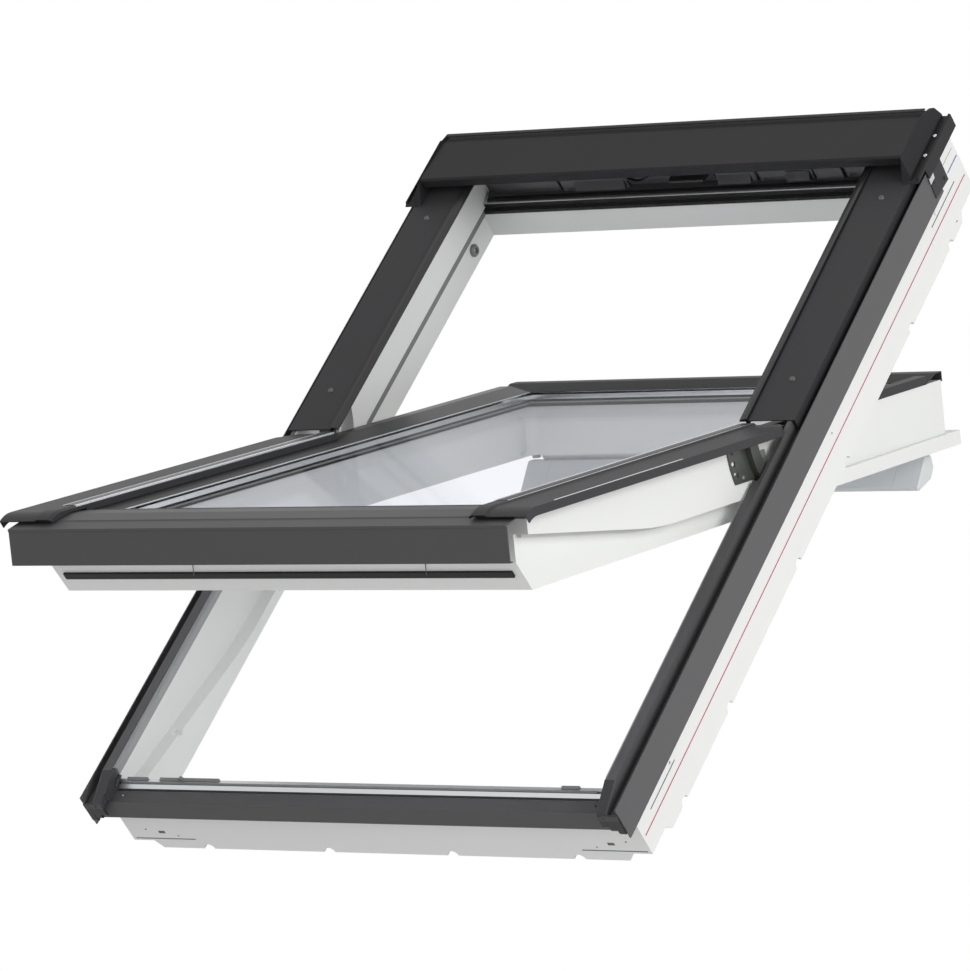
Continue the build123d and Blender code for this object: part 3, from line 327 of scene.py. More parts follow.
FINISHES = (
    Finish("white_moulding", (0.84, 0.85, 0.835), roughness=0.42, grain_scale=700.0,
           grain_depth=0.03, tone_low=0.965, specular=0.35),
    Finish("dark_cladding", (0.043, 0.043, 0.046), roughness=0.5, grain_scale=1600.0,
           tone_low=0.93, specular=0.15),
    # Lit and shaded copies of the dark cladding: the front and side copies are lighter by painted
    # light, the hood copy darker by painted shade.
    Finish("front_cladding", (0.086, 0.086, 0.089), roughness=0.5, grain_scale=1600.0,
           tone_low=0.95, specular=0.2),
    Finish("side_cladding", (0.108, 0.108, 0.112), roughness=0.46, grain_scale=1600.0,
           tone_low=0.9, specular=0.22),
    Finish("hood_cladding", (0.024, 0.024, 0.026), roughness=0.5, grain_scale=1600.0,
           tone_low=0.9, specular=0.14),
    Finish("head_gear", (0.055, 0.055, 0.058), roughness=0.3, grain_scale=1600.0,
           tone_low=0.85, specular=0.45),
    # Near-black copy of the dark cladding: painted shade on edges, strips, slopes and the ledge
    # cover where shadow falls.
    Finish("black_cladding", (0.022, 0.022, 0.024), roughness=0.36, grain_scale=1600.0,
           tone_low=0.9, specular=0.3),
    Finish("bright_aluminium", (0.62, 0.63, 0.64), roughness=0.3, metallic=0.85,
           grain_scale=2200.0, grain_depth=0.01, gloss_swing=0.12),
    Finish("painted_grey", (0.66, 0.69, 0.7), roughness=0.4, grain_scale=1500.0),
    Finish("grey_plastic", (0.34, 0.35, 0.355), roughness=0.5, grain_scale=1200.0),
    Finish("black_plastic", (0.026, 0.026, 0.028), roughness=0.48, grain_scale=1400.0,
           grain_depth=0.05, specular=0.3),
    Finish("block_plastic", (0.05, 0.05, 0.054), roughness=0.5, grain_scale=1400.0,
           grain_depth=0.05, specular=0.3),
    Finish("rubber_seal", (0.018, 0.018, 0.018), roughness=0.62, grain_scale=1800.0,
           grain_depth=0.04, tone_low=0.85, specular=0.3),
    Finish("seal_grey", (0.2, 0.205, 0.21), roughness=0.55, grain_scale=1500.0, tone_low=0.9),
    Finish("seal_pale", (0.6, 0.605, 0.6), roughness=0.55, grain_scale=1500.0, tone_low=0.93),
    Finish("hinge_metal", (0.085, 0.09, 0.082), roughness=0.4, metallic=0.35,
           grain_scale=2500.0, tone_low=0.85, gloss_swing=0.15),
    Finish("bush_grey", (0.2, 0.21, 0.21), roughness=0.4, grain_scale=1800.0),
    Finish("mounting_red", (0.5, 0.09, 0.13), roughness=0.5, specular=0.2),
    Finish("guide_violet", (0.13, 0.12, 0.42), roughness=0.5, specular=0.2),
    # Dark grey for seams, and painted shade inside grooves, slots, holes and dots.
    Finish("mark_grey", (0.1, 0.11, 0.115), roughness=0.6),
    # Bright steel for screws, rivets, pins and the glass spacer; also laid as painted highlights
    # on the sash cladding and the glazing lips.
    Finish("bright_steel", (0.78, 0.79, 0.8), roughness=0.22, metallic=0.9,
           grain_scale=2600.0, grain_depth=0.008, gloss_swing=0.1),
)


# ---- modelling bench ----

class Bench:
    """Models small pieces with Blender's own tools, in window millimetres."""

    block_segments = 3
    edge_segments = 2
    arc_steps = 14
    boss_edge_of_radius = 0.14
    boss_edge_of_height = 0.2

    @staticmethod
    def clear_selection() -> None:
        """Leave object mode and deselect everything."""
        if bpy.context.object and bpy.context.object.mode != "OBJECT":
            bpy.ops.object.mode_set(mode="OBJECT")
        bpy.ops.object.select_all(action="DESELECT")

    @classmethod
    def begin(cls, name: str, add: Callable, **values: object) -> bpy.types.Object:
        """Add a primitive with nothing else selected, and name it.

        Args:
            name: name of the piece.
            add: operator that adds the primitive.
            values: what the operator is given.

        Returns:
            The new object.
        """
        cls.clear_selection()
        add(**values)
        made = bpy.context.object
        made.name = name
        return made

    @staticmethod
    @contextmanager
    def editing() -> Iterator[None]:
        """Edit mode with the whole mesh selected, and then object mode again."""
        bpy.ops.object.mode_set(mode="EDIT")
        bpy.ops.mesh.select_all(action="SELECT")
        yield
        bpy.ops.object.mode_set(mode="OBJECT")

    @staticmethod
    def face_outwards() -> None:
        """Select the whole mesh and turn its faces outwards."""
        bpy.ops.mesh.select_all(action="SELECT")
        bpy.ops.mesh.normals_make_consistent(inside=False)

    @classmethod
    def block(cls, name: str, low: Point, high: Point, soften: float = 0.0) -> bpy.types.Object:
        """Make a block between two corners, with rounded edges.

        Args:
            name: name of the piece.
            low: lowest corner in millimetres.
            high: highest corner in millimetres.
            soften: width of the edge rounding in millimetres.

        Returns:
            The new object, still in window coordinates.
        """
        made = cls.begin(name, bpy.ops.mesh.primitive_cube_add, size=1.0)
        with cls.editing():
            bpy.ops.transform.resize(value=[(b - a) * MM for a, b in zip(low, high)])
            bpy.ops.transform.translate(value=[(a + b) / 2 * MM for a, b in zip(low, high)])
            if soften > 0:
                bpy.ops.mesh.bevel(offset=soften * MM, segments=cls.block_segments,
                                   affect="EDGES")
        return made

    @classmethod
    def prism(cls, name: str, outline: Sequence[Point], start: float, end: float,
              soften: float = 0.0) -> bpy.types.Object:
        """Extrude a (y, z) outline across the window.

        Args:
            name: name of the piece.
            outline: corners of the section in millimetres.
            start: lower x in millimetres.
            end: higher x in millimetres.
            soften: edge rounding in millimetres.

        Returns:
            The new object, still in window coordinates.
        """
        made = cls.begin(name, bpy.ops.mesh.primitive_circle_add, vertices=len(outline),
                         radius=1.0, fill_type="NGON")
        for vertex, (y, z) in zip(made.data.vertices, outline):
            vertex.co = (start * MM, y * MM, z * MM)
        with cls.editing():
            bpy.ops.mesh.extrude_region_move(
                TRANSFORM_OT_translate={"value": ((end - start) * MM, 0.0, 0.0)})
            cls.face_outwards()
            if soften > 0:
                bpy.ops.mesh.bevel(offset=soften * MM, segments=cls.edge_segments,
                                   affect="EDGES")
        return made

    @classmethod
    def boss(cls, name: str, centre: Point, radius: float, height: float, axis: str,
             corners: int) -> bpy.types.Object:
        """Make a round or faceted boss with softened edges.

        Args:
            name: name of the piece.
            centre: its middle in millimetres.
            radius: its radius in millimetres.
            height: its length along the axis.
            axis: X, Y or Z.
            corners: number of sides.

        Returns:
            The new object, still in window coordinates.
        """
        made = cls.begin(name, bpy.ops.mesh.primitive_cylinder_add, vertices=corners,
                         radius=radius * MM, depth=height * MM)
        edge = min(cls.boss_edge_of_radius * radius, cls.boss_edge_of_height * height)
        about, turn = {"X": ("Y", math.pi / 2), "Y": ("X", math.pi / 2), "Z": ("Z", 0.0)}[axis]
        with cls.editing():
            bpy.ops.mesh.bevel(offset=edge * MM, segments=cls.edge_segments, affect="EDGES")
            bpy.ops.mesh.select_all(action="SELECT")
            bpy.ops.transform.rotate(value=turn, orient_axis=about,
                                     center_override=(0.0, 0.0, 0.0))
            bpy.ops.transform.translate(value=[value * MM for value in centre])
        return made

    @classmethod
    def arc(cls, name: str, centre: Point, radius: float, start: float, stop: float,
            width: float, depth: float) -> bpy.types.Object:
        """Spin a rectangular section about the y axis into a curved arm.

        Args:
            name: name of the piece.
            centre: centre of the curve in millimetres.
            radius: radius of its middle line.
            start: first angle in degrees, from +x towards +z.
            stop: last angle in degrees.
            width: its width along the radius.
            depth: its depth along y.

        Returns:
            The new object, still in window coordinates.
        """
        made = cls.begin(name, bpy.ops.mesh.primitive_plane_add, size=1.0)
        angle = math.radians(start)
        out = Vector((math.cos(angle), 0.0, math.sin(angle)))
        along = Vector((0.0, 1.0, 0.0))
        corners = ((-1, -1), (1, -1), (-1, 1), (1, 1))
        for vertex, (u, v) in zip(made.data.vertices, corners):
            spot = Vector(centre) + out * (radius + u * width / 2) + along * (v * depth / 2)
            vertex.co = spot * MM
        with cls.editing():
            bpy.ops.mesh.spin(steps=cls.arc_steps, angle=-math.radians(stop - start),
                              center=[value * MM for value in centre], axis=along)
            cls.face_outwards()
        return made

    @classmethod
    def finish(cls, piece: bpy.types.Object, where: Place, body: str, slot: str,
               material: bpy.types.Material) -> bpy.types.Object:
        """Place a piece in the frame shared with the solids, dress it and let it ride.

        Args:
            piece: object modelled in window coordinates.
            where: drawing frame that it was modelled in.
            body: CAD body it rides on.
            slot: material slot of the record; not used.
            material: its finish.

        Returns:
            The same object.
        """
        cls.clear_selection()
        piece.select_set(True)
        bpy.context.view_layer.objects.active = piece
        piece.matrix_world = DRAWING.place(where) @ piece.matrix_world
        bpy.ops.object.transform_apply(location=True, rotation=True, scale=True)
        piece.data.materials.clear()
        piece.data.materials.append(material)
        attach(piece, body)
        log.info("piece %s on %s", piece.name, body)
        return piece


class Disc(NamedTuple):
    """A round or faceted boss: radius, height, number of sides and finish."""

    radius: float
    height: float
    corners: int
    finish: str


@dataclass
class Fitter:
    """Shared helper that knows the finishes and where a piece belongs."""

    materials: dict
    place: Place = Place.FRAME
    body: str = "frame"
    slot: str = "black_plastic"

    def seat(self, piece: bpy.types.Object, finish: str,
             slot: Optional[str] = None) -> bpy.types.Object:
        """Place a piece, dress it and let it ride.

        Args:
            piece: object modelled in window coordinates.
            finish: name of its finish.
            slot: material slot, or None for the fitter's own.

        Returns:
            The same object.
        """
        return Bench.finish(piece, self.place, self.body, slot or self.slot,
                            self.materials[finish])

    def block(self, name: str, low: Point, high: Point, finish: str, soften: float = 0.0,
              slot: Optional[str] = None) -> bpy.types.Object:
        """Make and seat a softened block between two corners.

        Args:
            name: name of the piece.
            low: one corner in millimetres.
            high: the other corner.
            finish: name of its finish.
            soften: edge rounding in millimetres.
            slot: material slot, or None for the fitter's own.

        Returns:
            The new object.
        """
        first = [min(a, b) for a, b in zip(low, high)]
        last = [max(a, b) for a, b in zip(low, high)]
        return self.seat(Bench.block(name, first, last, soften), finish, slot)

    def bar(self, name: str, outline: Sequence[Point], start: float, end: float, finish: str,
            soften: float = 0.0, slot: Optional[str] = None) -> bpy.types.Object:
        """Make and seat a straight bar across the window from a (y, z) outline.

        Args:
            name: name of the piece.
            outline: corners of the section in millimetres.
            start: lower x.
            end: higher x.
            finish: name of its finish.
            soften: edge rounding in millimetres.
            slot: material slot, or None for the fitter's own.

        Returns:
            The new object.
        """
        return self.seat(Bench.prism(name, outline, start, end, soften), finish, slot)

    def boss(self, name: str, centre: Point, disc: Disc, axis: str,
             slot: Optional[str] = None) -> bpy.types.Object:
        """Make and seat a round or faceted boss.

        Args:
            name: name of the piece.
            centre: its middle in millimetres.
            disc: its size and finish.
            axis: X, Y or Z.
            slot: material slot, or None for the fitter's own.

        Returns:
            The new object.
        """
        made = Bench.boss(name, centre, disc.radius, disc.height, axis, disc.corners)
        return self.seat(made, disc.finish, slot)


class Mark(NamedTuple):
    """A straight mark on a face: start and end are y on a side face, x on the front."""

    name: str
    start: float
    end: float
    level: float
    width: float
    finish: str = "mark_grey"

    @property
    def levels(self) -> tuple:
        """Lower and upper z of the mark."""
        return self.level - self.width / 2, self.level + self.width / 2


@dataclass
class Marks(Fitter):
    """Painted lines, and moulded grooves, slots, holes and dots drawn as dark strips of painted
    shade, on the outside of the frame.
    """

    slot: str = "white_moulding"
    proud: float = 0.12
    depth: float = 0.5
    side_marks: tuple = (
        Mark("mounting_line_{}", 5.6, DRAWING.length - 6.0, DRAWING.line_level, 1.9,
             "mounting_red"),
        Mark("low_slot_{}", 36.0, 116.5, 41.0, 1.7),
        Mark("high_slot_{}", 1055.7, 1144.4, 40.5, 1.7),
        Mark("violet_line_{}", 1139.2, 1174.5, 60.2, 1.9, "guide_violet"),
        Mark("pale_line_{}", 1137.9, 1171.2, 76.0, 0.85, "seal_grey"),
        Mark("side_dot_{}_0", 673.8, 676.2, 41.6, 2.0),
        Mark("side_dot_{}_1", 1110.7, 1113.1, -0.8, 2.0))
    # Grooves, slots, holes and dots are flush dark strips of painted shade.
    front_marks: tuple = (
        Mark("front_groove_{}", 291.0, 385.0, 4.0, 1.7),
        Mark("front_slot_{}", 333.0, 343.0, 16.5, 4.6),
        Mark("front_hole_{}", 360.0, 362.2, 21.0, 2.4),
        Mark("front_dot_{}", 314.0, 316.0, 10.0, 2.0))

    def build(self) -> None:
        """Put the lines, slots and dots on the side faces and the lower outer face."""
        inner = DRAWING.half_width - self.depth
        outer = DRAWING.half_width + self.proud
        for side, hand in SIDES:
            for mark in self.side_marks:
                low, high = mark.levels
                self.block(mark.name.format(hand), (side * inner, mark.start, low),
                           (side * outer, mark.end, high), mark.finish)
            for mark in self.front_marks:
                low, high = mark.levels
                self.block(mark.name.format(hand), (side * mark.start, -self.proud, low),
                           (side * mark.end, self.depth, high), mark.finish)


class Panel(NamedTuple):
    """A flat panel across the head: its stretch in x and how far it stands out."""

    start: float
    end: float
    depth: float


class Arm(NamedTuple):
    """A curved arm: its centre, radius, and first and last angle in degrees."""

    x: float
    z: float
    radius: float
    start: float
    stop: float


@dataclass
class HeadGear(Fitter):
    """Dark fittings on the front of the latch plate, seen under the hood."""

    slot: str = "dark_cladding"
    face: float = 1156.0
    back: float = 1155.8
    panel_low: float = 47.0
    panel_high: float = 109.0
    panels: tuple = (
        Panel(-330.0, -224.0, 4.0), Panel(-219.0, -112.0, 5.0), Panel(30.0, 92.0, 5.0),
        Panel(96.0, 180.0, 4.0), Panel(184.0, 226.0, 6.0), Panel(230.0, 330.0, 4.0))
    steps: tuple = ((-196.0, -116.0), (32.0, 84.0), (140.0, 176.0))
    step_section: tuple = ((1145.5, 52.5), (1151.0, 66.0), (1155.8, 66.0), (1155.8, 52.5))
    bolts: tuple = (-305.0, 262.0)
    bolt_level: float = 84.0
    bolt_seat: float = 1151.8
    bolt_head: Disc = Disc(11.0, 6.0, 6, "black_plastic")
    bolt_core: Disc = Disc(6.0, 8.0, 24, "dark_cladding")
    arms: tuple = (
        Arm(-64.0, 92.0, 24.0, 150.0, 330.0), Arm(-92.0, 84.0, 22.0, -40.0, 70.0),
        Arm(8.0, 92.0, 24.0, 200.0, 390.0), Arm(36.0, 88.0, 26.0, 110.0, 215.0))
    arm_middle: float = 1150.0
    arm_width: float = 3.4
    arm_depth: float = 5.0
    hub: tuple = (-28.0, 1152.0, 96.0)
    hub_rim: Disc = Disc(12.0, 12.0, 28, "dark_cladding")
    hub_pin: Disc = Disc(4.5, 14.0, 20, "bright_steel")
    ledge_half: float = 344.0
    seal_half: float = 349.0

    def build(self) -> None:
        """Add the panels, steps and bolts, the latch arms, and the ledge below them."""
        for number, panel in enumerate(self.panels):
            self.block(f"head_panel_{number}",
                       (panel.start, self.face - panel.depth, self.panel_low),
                       (panel.end, self.back, self.panel_high), "head_gear", 1.2)
        for number, (start, end) in enumerate(self.steps):
            self.bar(f"head_step_{number}", self.step_section, start, end, "head_gear", 0.8)
        for number, x in enumerate(self.bolts):
            spot = (x, self.bolt_seat, self.bolt_level)
            self.disc(f"head_bolt_{number}", spot, self.bolt_head)
            self.disc(f"head_bolt_core_{number}", spot, self.bolt_core)
        self.latch_arms()
        self.ledge()

    def disc(self, name: str, spot: Point, disc: Disc) -> None:
        """Seat a faceted or round boss that faces down the slope.

        Args:
            name: name of the boss.
            spot: middle of the surface that carries it.
            disc: its size and finish.
        """
        x, seat, z = spot
        self.boss(name, (x, seat - disc.height / 2, z), disc, "Y")

    def latch_arms(self) -> None:
        """Model the curved arms of the latch on either side of the striker."""
        for number, arm in enumerate(self.arms):
            made = Bench.arc(f"latch_arm_{number}", (arm.x, self.arm_middle, arm.z), arm.radius,
                             arm.start, arm.stop, self.arm_width, self.arm_depth)
            self.seat(made, "black_plastic")
        self.disc("latch_hub", self.hub, self.hub_rim)
        self.disc("latch_hub_pin", self.hub, self.hub_pin)

    def ledge(self) -> None:
        """Lay the bright line, the edge seal, and the cover of the head ledge darkened by painted
        shade.
        """
        self.bar("head_ledge_line", oblong((1138.2, 44.2), (1142.5, 45.2)), -self.ledge_half,
                 self.ledge_half, "bright_aluminium", 0.2, "bright_aluminium")
        self.bar("head_edge_seal", oblong((1137.3, 36.6), (1138.2, 43.7)), -self.seal_half,
                 self.seal_half, "rubber_seal", 0.2, "rubber_seal")
        # The ledge cover's near-black is painted shade under the hood.
        cover = ((1141.0, 44.2), (1141.0, 46.4), (1144.0, 48.0), (self.back, 48.0),
                 (self.back, 44.2))
        self.bar("head_ledge_cover", cover, -self.ledge_half, self.ledge_half,
                 "black_cladding", 0.4)


@dataclass
class HeadTrim(Fitter):
    """Small fittings on the hood and its ends."""

    lip_half: float = 377.0
    lip_section: tuple = ((1168.2, 143.2), (1168.2, 144.9), (1169.0, 145.6), (1173.6, 145.2),
                          (1174.2, 144.4), (1174.2, 143.0))
    tab_reach: tuple = (401.9, 403.0)
    tab_section: tuple = ((1078.0, 95.5), (1092.0, 95.5), (1094.5, 107.5), (1081.0, 110.5))
    cap_screws: tuple = ((395.6, 1104.0, 123.4), (395.6, 1142.0, 123.4))
    cap_screw: Disc = Disc(2.9, 2.8, 20, "bright_steel")
    plate_spot: tuple = (402.9, 1112.0, 76.0)
    plate_screw: Disc = Disc(2.4, 1.6, 20, "black_plastic")

    def build(self) -> None:
        """Add the rear lip, the bright tabs and the screws of the caps and plates."""
        self.bar("hood_lip", self.lip_section, -self.lip_half, self.lip_half,
                 "dark_cladding", 0.3, "dark_cladding")
        for side, hand in SIDES:
            start, end = span(side, *self.tab_reach)
            self.bar(f"bright_tab_{hand}", self.tab_section, start, end, "bright_aluminium",
                     0.3, "bright_aluminium")
            for number, spot in enumerate(self.cap_screws):
                self.boss(f"cap_screw_{hand}_{number}", mirrored(side, spot), self.cap_screw,
                          "Z", "hinge_metal")
            self.boss(f"plate_screw_{hand}", mirrored(side, self.plate_spot),
                      self.plate_screw, "X", "hinge_metal")


class Step(NamedTuple):
    """A step of the corner block's face: its stretch in x and its lower edge."""

    name: str
    inner: float
    outer: float
    low: float


@dataclass
class SillTrim(Fitter):
    """Clips, rest knob, gutter toes, corner faces and drain hooks along the sill."""

    clips: tuple = ((-357.0, -325.0), (-306.0, -214.0), (297.0, 323.0))
    clip_section: tuple = ((15.5, 96.2), (15.5, 98.4), (19.8, 99.4), (19.8, 88.0),
                           (18.9, 88.0), (18.9, 97.6))
    toe_reach: tuple = (399.1, 400.85)
    toe_section: tuple = ((-30.0, 98.0), (-30.0, 63.8), (2.0, 63.6))
    steps: tuple = (Step("inner", 371.2, 380.5, 82.0), Step("middle", 380.5, 390.5, 77.0),
                    Step("outer", 390.5, 399.0, 71.5))
    step_top: float = 96.5
    step_bevel: float = 3.0
    step_front: float = -32.9
    step_toe: float = -31.4
    step_back: float = -29.0
    wing_reach: tuple = (366.6, 372.6)
    wing_section: tuple = ((2.0, 99.5), (7.0, 103.2), (19.5, 103.6), (21.5, 101.0),
                           (20.5, 99.4), (2.0, 97.0))
    knob_spot: tuple = (-272.0, 17.2, 99.6)
    knob: Disc = Disc(3.4, 4.4, 24, "seal_grey")
    hook: tuple = (362.0, -7.0, 94.5)
    hook_radius: float = 8.0
    hook_width: float = 1.1
    hook_depth: float = 1.8

    def build(self) -> None:
        """Add the clips on the sill rail, both corners, the knob and the hooks."""
        for number, (start, end) in enumerate(self.clips):
            self.bar(f"sill_clip_{number}", self.clip_section, start, end, "seal_grey", 0.25)
        for side, hand in SIDES:
            self.corner(side, hand)
        self.boss("sill_knob", self.knob_spot, self.knob, "Y")
        for side, hand in SIDES:
            made = Bench.arc(f"drain_hook_{hand}", mirrored(side, self.hook), self.hook_radius,
                             0.0, 180.0, self.hook_width, self.hook_depth)
            self.seat(made, "painted_grey" if side < 0 else "block_plastic", "grey_plastic")

    def corner(self, side: int, hand: str) -> None:
        """Add the gutter's toe and the stepped face and wing of a corner block.

        Args:
            side: 1 for the right, -1 for the left.
            hand: its name.
        """
        start, end = span(side, *self.toe_reach)
        # The toe wears the side cladding's painted light.
        self.bar(f"gutter_toe_{hand}", self.toe_section, start, end, "side_cladding", 0.0,
                 "dark_cladding")
        for step in self.steps:
            section = ((self.step_front, self.step_top),
                       (self.step_front, step.low + self.step_bevel),
                       (self.step_toe, step.low), (self.step_back, step.low),
                       (self.step_back, self.step_top))
            start, end = span(side, step.inner, step.outer)
            self.bar(f"corner_face_{step.name}_{hand}", section, start, end,
                     "black_plastic", 0.3)
        start, end = span(side, *self.wing_reach)
        self.bar(f"corner_wing_{hand}", self.wing_section, start, end, "block_plastic", 0.8)


class Ridge(NamedTuple):
    """A ridge along a side cover: its middle and width in x, its levels, and the finish that
    paints its highlight or shade.
    """

    x: float
    width: float
    low: float
    high: float
    finish: str


class Band(NamedTuple):
    """A band at the edge of the glass: its levels and finish."""

    low: float
    high: float
    finish: str


class Rivet(NamedTuple):
    """A rivet of the hinge: its place on the sash plate and its radius."""

    y: float
    z: float
    radius: float


@dataclass
class SashTrim(Fitter):
    """Ridges of the sash cladding in painted highlight and painted shade, edge lines of the glass
    with a painted highlight on their lip, and hinge links with rivets.
    """

    place: Place = Place.SASH
    body: str = "sash"
    slot: str = "dark_cladding"
    # The bright steel ridges paint highlights on the cover's slopes; the black one paints shade
    # on the slope down to the glass.
    ridges: tuple = (Ridge(312.0, 3.6, 119.2, 122.6, "bright_steel"),
                     Ridge(321.0, 13.0, 121.9, 122.7, "black_cladding"),
                     Ridge(330.6, 1.6, 121.6, 122.6, "bright_steel"))
    ridge_ends: tuple = (42.0, 612.0)
    # The bend paints a highlight along the fold of the cover's outer edge.
    bend_low: tuple = (387.4, 53.0, 119.2)
    bend_high: tuple = (389.2, 348.0, 120.5)
    bands: tuple = (Band(93.4, 99.8, "bright_steel"), Band(90.2, 93.4, "rubber_seal"),
                    Band(88.2, 90.2, "seal_grey"))
    bead_inner: float = 288.6
    bead_outer: float = 302.2
    glass_top: float = 1063.0
    top_bead: tuple = (1062.4, 1074.2)
    top_bead_half: float = 288.4
    top_lip_half: float = 289.0
    top_lip_section: tuple = ((1062.4, 104.1), (1062.4, 105.3), (1064.0, 105.6),
                              (1064.0, 104.1))
    seams: tuple = (-127.3, 216.0)
    seam_half: float = 0.5
    link_reach: tuple = (368.0, 369.0)
    link_section: tuple = ((536.0, 84.0), (541.0, 76.0), (556.0, 75.0), (570.0, 82.0),
                           (577.0, 86.0), (576.0, 95.4), (549.0, 95.7))
    rivets: tuple = (Rivet(495.0, 89.1, 2.6), Rivet(542.1, 79.9, 2.8),
                     Rivet(498.5, 76.0, 2.0), Rivet(519.8, 68.5, 2.6))
    rivet_x: float = 368.5
    rivet_height: float = 1.2

    def build(self) -> None:
        """Add the lines along both covers, those across the window, and the hinges."""
        start, end = self.ridge_ends
        for side, hand in SIDES:
            for number, ridge in enumerate(self.ridges):
                self.block(f"cover_ridge_{hand}_{number}",
                           (side * (ridge.x - ridge.width / 2), start, ridge.low),
                           (side * (ridge.x + ridge.width / 2), end, ridge.high),
                           ridge.finish, 0.3)
            self.block(f"cover_bend_{hand}", mirrored(side, self.bend_low),
                       mirrored(side, self.bend_high), "bright_steel", 0.4)
            self.glass_edges(side, hand)
        self.cross_edges()
        for side, hand in SIDES:
            self.hinge(side, hand)

    def glass_edges(self, side: int, hand: str) -> None:
        """Painted highlight along the lip of the glazing strip, and the bands of the glass edge
        on one side.

        Args:
            side: 1 for the right, -1 for the left.
            hand: its name.
        """
        self.block(f"glass_lip_{hand}", (side * 288.9, 84.0, 104.1),
                   (side * 290.6, self.glass_top, 105.5), "bright_steel", 0.3)
        for number, band in enumerate(self.bands):
            self.block(f"glass_bead_{hand}_{number}", (side * self.bead_inner, 78.0, band.low),
                       (side * self.bead_outer, self.glass_top, band.high), band.finish, 0.4)

    def cross_edges(self) -> None:
        """Painted highlight along the lip at the top of the glass, bands along its top edge, and
        seams in the sash's lower face.
        """
        self.bar("top_lip", self.top_lip_section, -self.top_lip_half, self.top_lip_half,
                 "bright_steel", 0.3)
        start, end = self.top_bead
        for number, band in enumerate(self.bands):
            self.bar(f"glass_bead_top_{number}", oblong((start, band.low), (end, band.high)),
                     -self.top_bead_half, self.top_bead_half, band.finish, 0.4)
        for number, x in enumerate(self.seams):
            self.block(f"sill_seam_{number}", (x - self.seam_half, 23.35, 36.0),
                       (x + self.seam_half, 24.0, 57.5), "mark_grey")

    def hinge(self, side: int, hand: str) -> None:
        """Second link and the rivets of one friction hinge.

        Args:
            side: 1 for the right, -1 for the left.
            hand: its name.
        """
        start, end = span(side, *self.link_reach)
        self.bar(f"hinge_link_{hand}", self.link_section, start, end, "bush_grey", 0.25,
                 "hinge_metal")
        for number, rivet in enumerate(self.rivets):
            head = Disc(rivet.radius, self.rivet_height, 20, "bright_steel")
            self.boss(f"hinge_rivet_{hand}_{number}", (side * self.rivet_x, rivet.y, rivet.z),
                      head, "X", "hinge_metal")


# ---- dressing ----

# Finishes that replace the record's slot for some nodes; the cladding copies among them paint
# light or shade node by node, and glazing_strip_left is darkened by painted shade.
NODE_FINISH_AND_PAINTED_LIGHT = {
    "jamb_seal_left": "seal_grey", "jamb_seal_right": "seal_grey",
    "side_seal_left": "seal_pale", "side_seal_right": "seal_pale",
    "cover_edge_left": "black_cladding", "cover_edge_right": "black_cladding",
    "hood": "hood_cladding", "gutter_left": "side_cladding", "gutter_right": "side_cladding",
    "sill_cladding": "front_cladding", "sash_bottom_cover": "front_cladding",
    "glazing_strip_left": "black_cladding", "sill_gasket": "seal_grey",
    "head_plate": "head_gear", "striker": "black_plastic", "lock_case": "black_plastic",
    "sill_corner_left": "block_plastic", "sill_corner_right": "block_plastic",
    "hood_end_left": "hood_cladding", "hood_end_right": "hood_cladding",
    "bolt_bush": "bush_grey", "barrel_bolt": "bush_grey",
    "ventilation_flap": "white_moulding", "control_bar": "painted_grey",
    "bar_end_left": "painted_grey", "bar_end_right": "painted_grey",
}


def dress_nodes(materials: dict) -> None:
    """Give every CAD node its finish.

    Args:
        materials: finish name to material.
    """
    slots = {part["node"]: part["material_slot"] for part in frame["record"]["subparts"]}
    for name, node in frame["nodes"].items():
        chosen = materials[NODE_FINISH_AND_PAINTED_LIGHT.get(name, slots[name])]
        if not node.material_slots:
            node.data.materials.append(chosen)
        for slot in node.material_slots:
            slot.material = chosen
        log.info("node %s wears %s", name, chosen.name)


class Lamp(NamedTuple):
    """One soft square lamp: place and edge length in metres, power in watts."""

    name: str
    place: tuple
    size: float
    watts: float


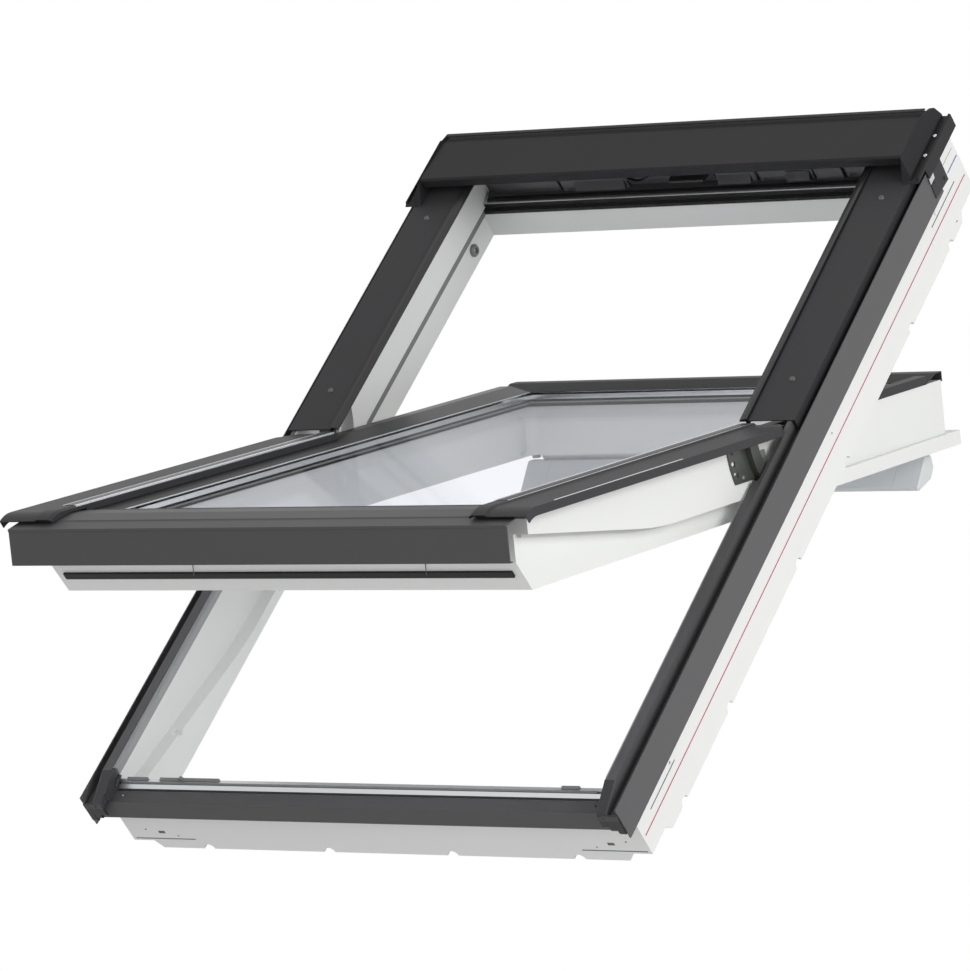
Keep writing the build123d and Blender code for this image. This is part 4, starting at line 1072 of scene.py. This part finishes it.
@dataclass
class Studio:
    """Floor, light and the camera of the photograph."""

    focal_pixels: float = 5772.25
    picture_width: float = 970.0
    sensor: float = 36.0
    far: float = 100.0
    centre: tuple = (4058.3, -3858.5, 4519.6)
    right: tuple = (0.83501143, 0.37799031, -0.39984903)
    down: tuple = (-0.01136865, -0.71468383, -0.69935526)
    forward: tuple = (-0.55011514, 0.58851538, -0.59247193)
    world_strength: float = 0.42
    floor_drop: float = 0.35
    floor_size: float = 14.0
    floor_color: tuple = (0.9, 0.9, 0.9, 1.0)
    aim: tuple = (0.0, 0.45, 0.45)
    key_right: Lamp = Lamp("key_right", (4.2, -0.6, 1.6), 2.4, 95.0)
    over_roof: Lamp = Lamp("over_roof", (-0.6, 1.0, 4.4), 3.0, 15.0)
    fill_front: Lamp = Lamp("fill_front", (-0.5, -4.5, 0.9), 2.6, 27.0)

    def build(self) -> None:
        """Make the world, floor, lamps and camera."""
        self.world()
        self.floor()
        for lamp in (self.key_right, self.over_roof, self.fill_front):
            self.lamp(lamp)
        self.camera()
        bpy.context.scene.view_settings.view_transform = "Standard"

    def world(self) -> None:
        """White for the camera, glass and gloss, softer grey light on the object."""
        made = bpy.data.worlds.new("studio")
        bpy.context.scene.world = made
        made.use_nodes = True
        graph = Graph(made.node_tree)
        out = graph.add("ShaderNodeOutputWorld")
        light = graph.add("ShaderNodeBackground", in_Color=WHITE, in_Strength=self.world_strength)
        white = graph.add("ShaderNodeBackground", in_Color=WHITE, in_Strength=1.0)
        graph.split_rays(light, white, out.inputs["Surface"])

    def floor(self) -> None:
        """Pale floor under the lowest point, white where it is seen."""
        low = cad_box[0][2] - self.floor_drop
        floor = Bench.begin("studio_floor", bpy.ops.mesh.primitive_plane_add,
                            size=self.floor_size, location=(0.0, 0.5, low))
        made = bpy.data.materials.new("studio_floor")
        made.use_nodes = True
        graph = Graph(made.node_tree)
        out = graph.add("ShaderNodeOutputMaterial")
        paper = graph.add("ShaderNodeBsdfDiffuse", in_Color=self.floor_color)
        glow = graph.add("ShaderNodeEmission", in_Color=WHITE, in_Strength=1.0)
        graph.split_rays(paper, glow, out.inputs["Surface"])
        floor.data.materials.append(made)

    def lamp(self, lamp: Lamp) -> None:
        """Add one soft area lamp that looks at the window.

        Args:
            lamp: its name, place, size and power.
        """
        data = bpy.data.lights.new(lamp.name, "AREA")
        data.size = lamp.size
        data.energy = lamp.watts
        made = bpy.data.objects.new(lamp.name, data)
        bpy.context.scene.collection.objects.link(made)
        made.location = lamp.place
        look = Vector(self.aim) - Vector(lamp.place)
        made.rotation_euler = look.to_track_quat("-Z", "Y").to_euler()

    def camera(self) -> None:
        """Camera fitted to the photograph."""
        data = bpy.data.cameras.new("photo_camera")
        data.sensor_fit = "HORIZONTAL"
        data.sensor_width = self.sensor
        data.lens = self.focal_pixels / self.picture_width * self.sensor
        data.clip_end = self.far
        made = bpy.data.objects.new("photo_camera", data)
        bpy.context.scene.collection.objects.link(made)
        turn = Matrix((self.right, [-v for v in self.down], [-v for v in self.forward]))
        pose = turn.transposed().to_4x4()
        pose.translation = Vector(self.centre) * MM
        made.matrix_world = DRAWING.place(Place.FRAME) @ pose
        bpy.context.scene.camera = made


def main() -> None:
    """Dress the window and set up the studio."""
    logging.basicConfig(level=logging.INFO)
    skin = make_skin_group()
    materials = {finish.name: finish.material(skin) for finish in FINISHES}
    materials["glass"] = GlassFinish("glass").material()
    dress_nodes(materials)
    for assembly in (Marks, HeadGear, HeadTrim, SillTrim, SashTrim):
        assembly(materials).build()
    Studio().build()


if __name__ == "__main__":
    main()
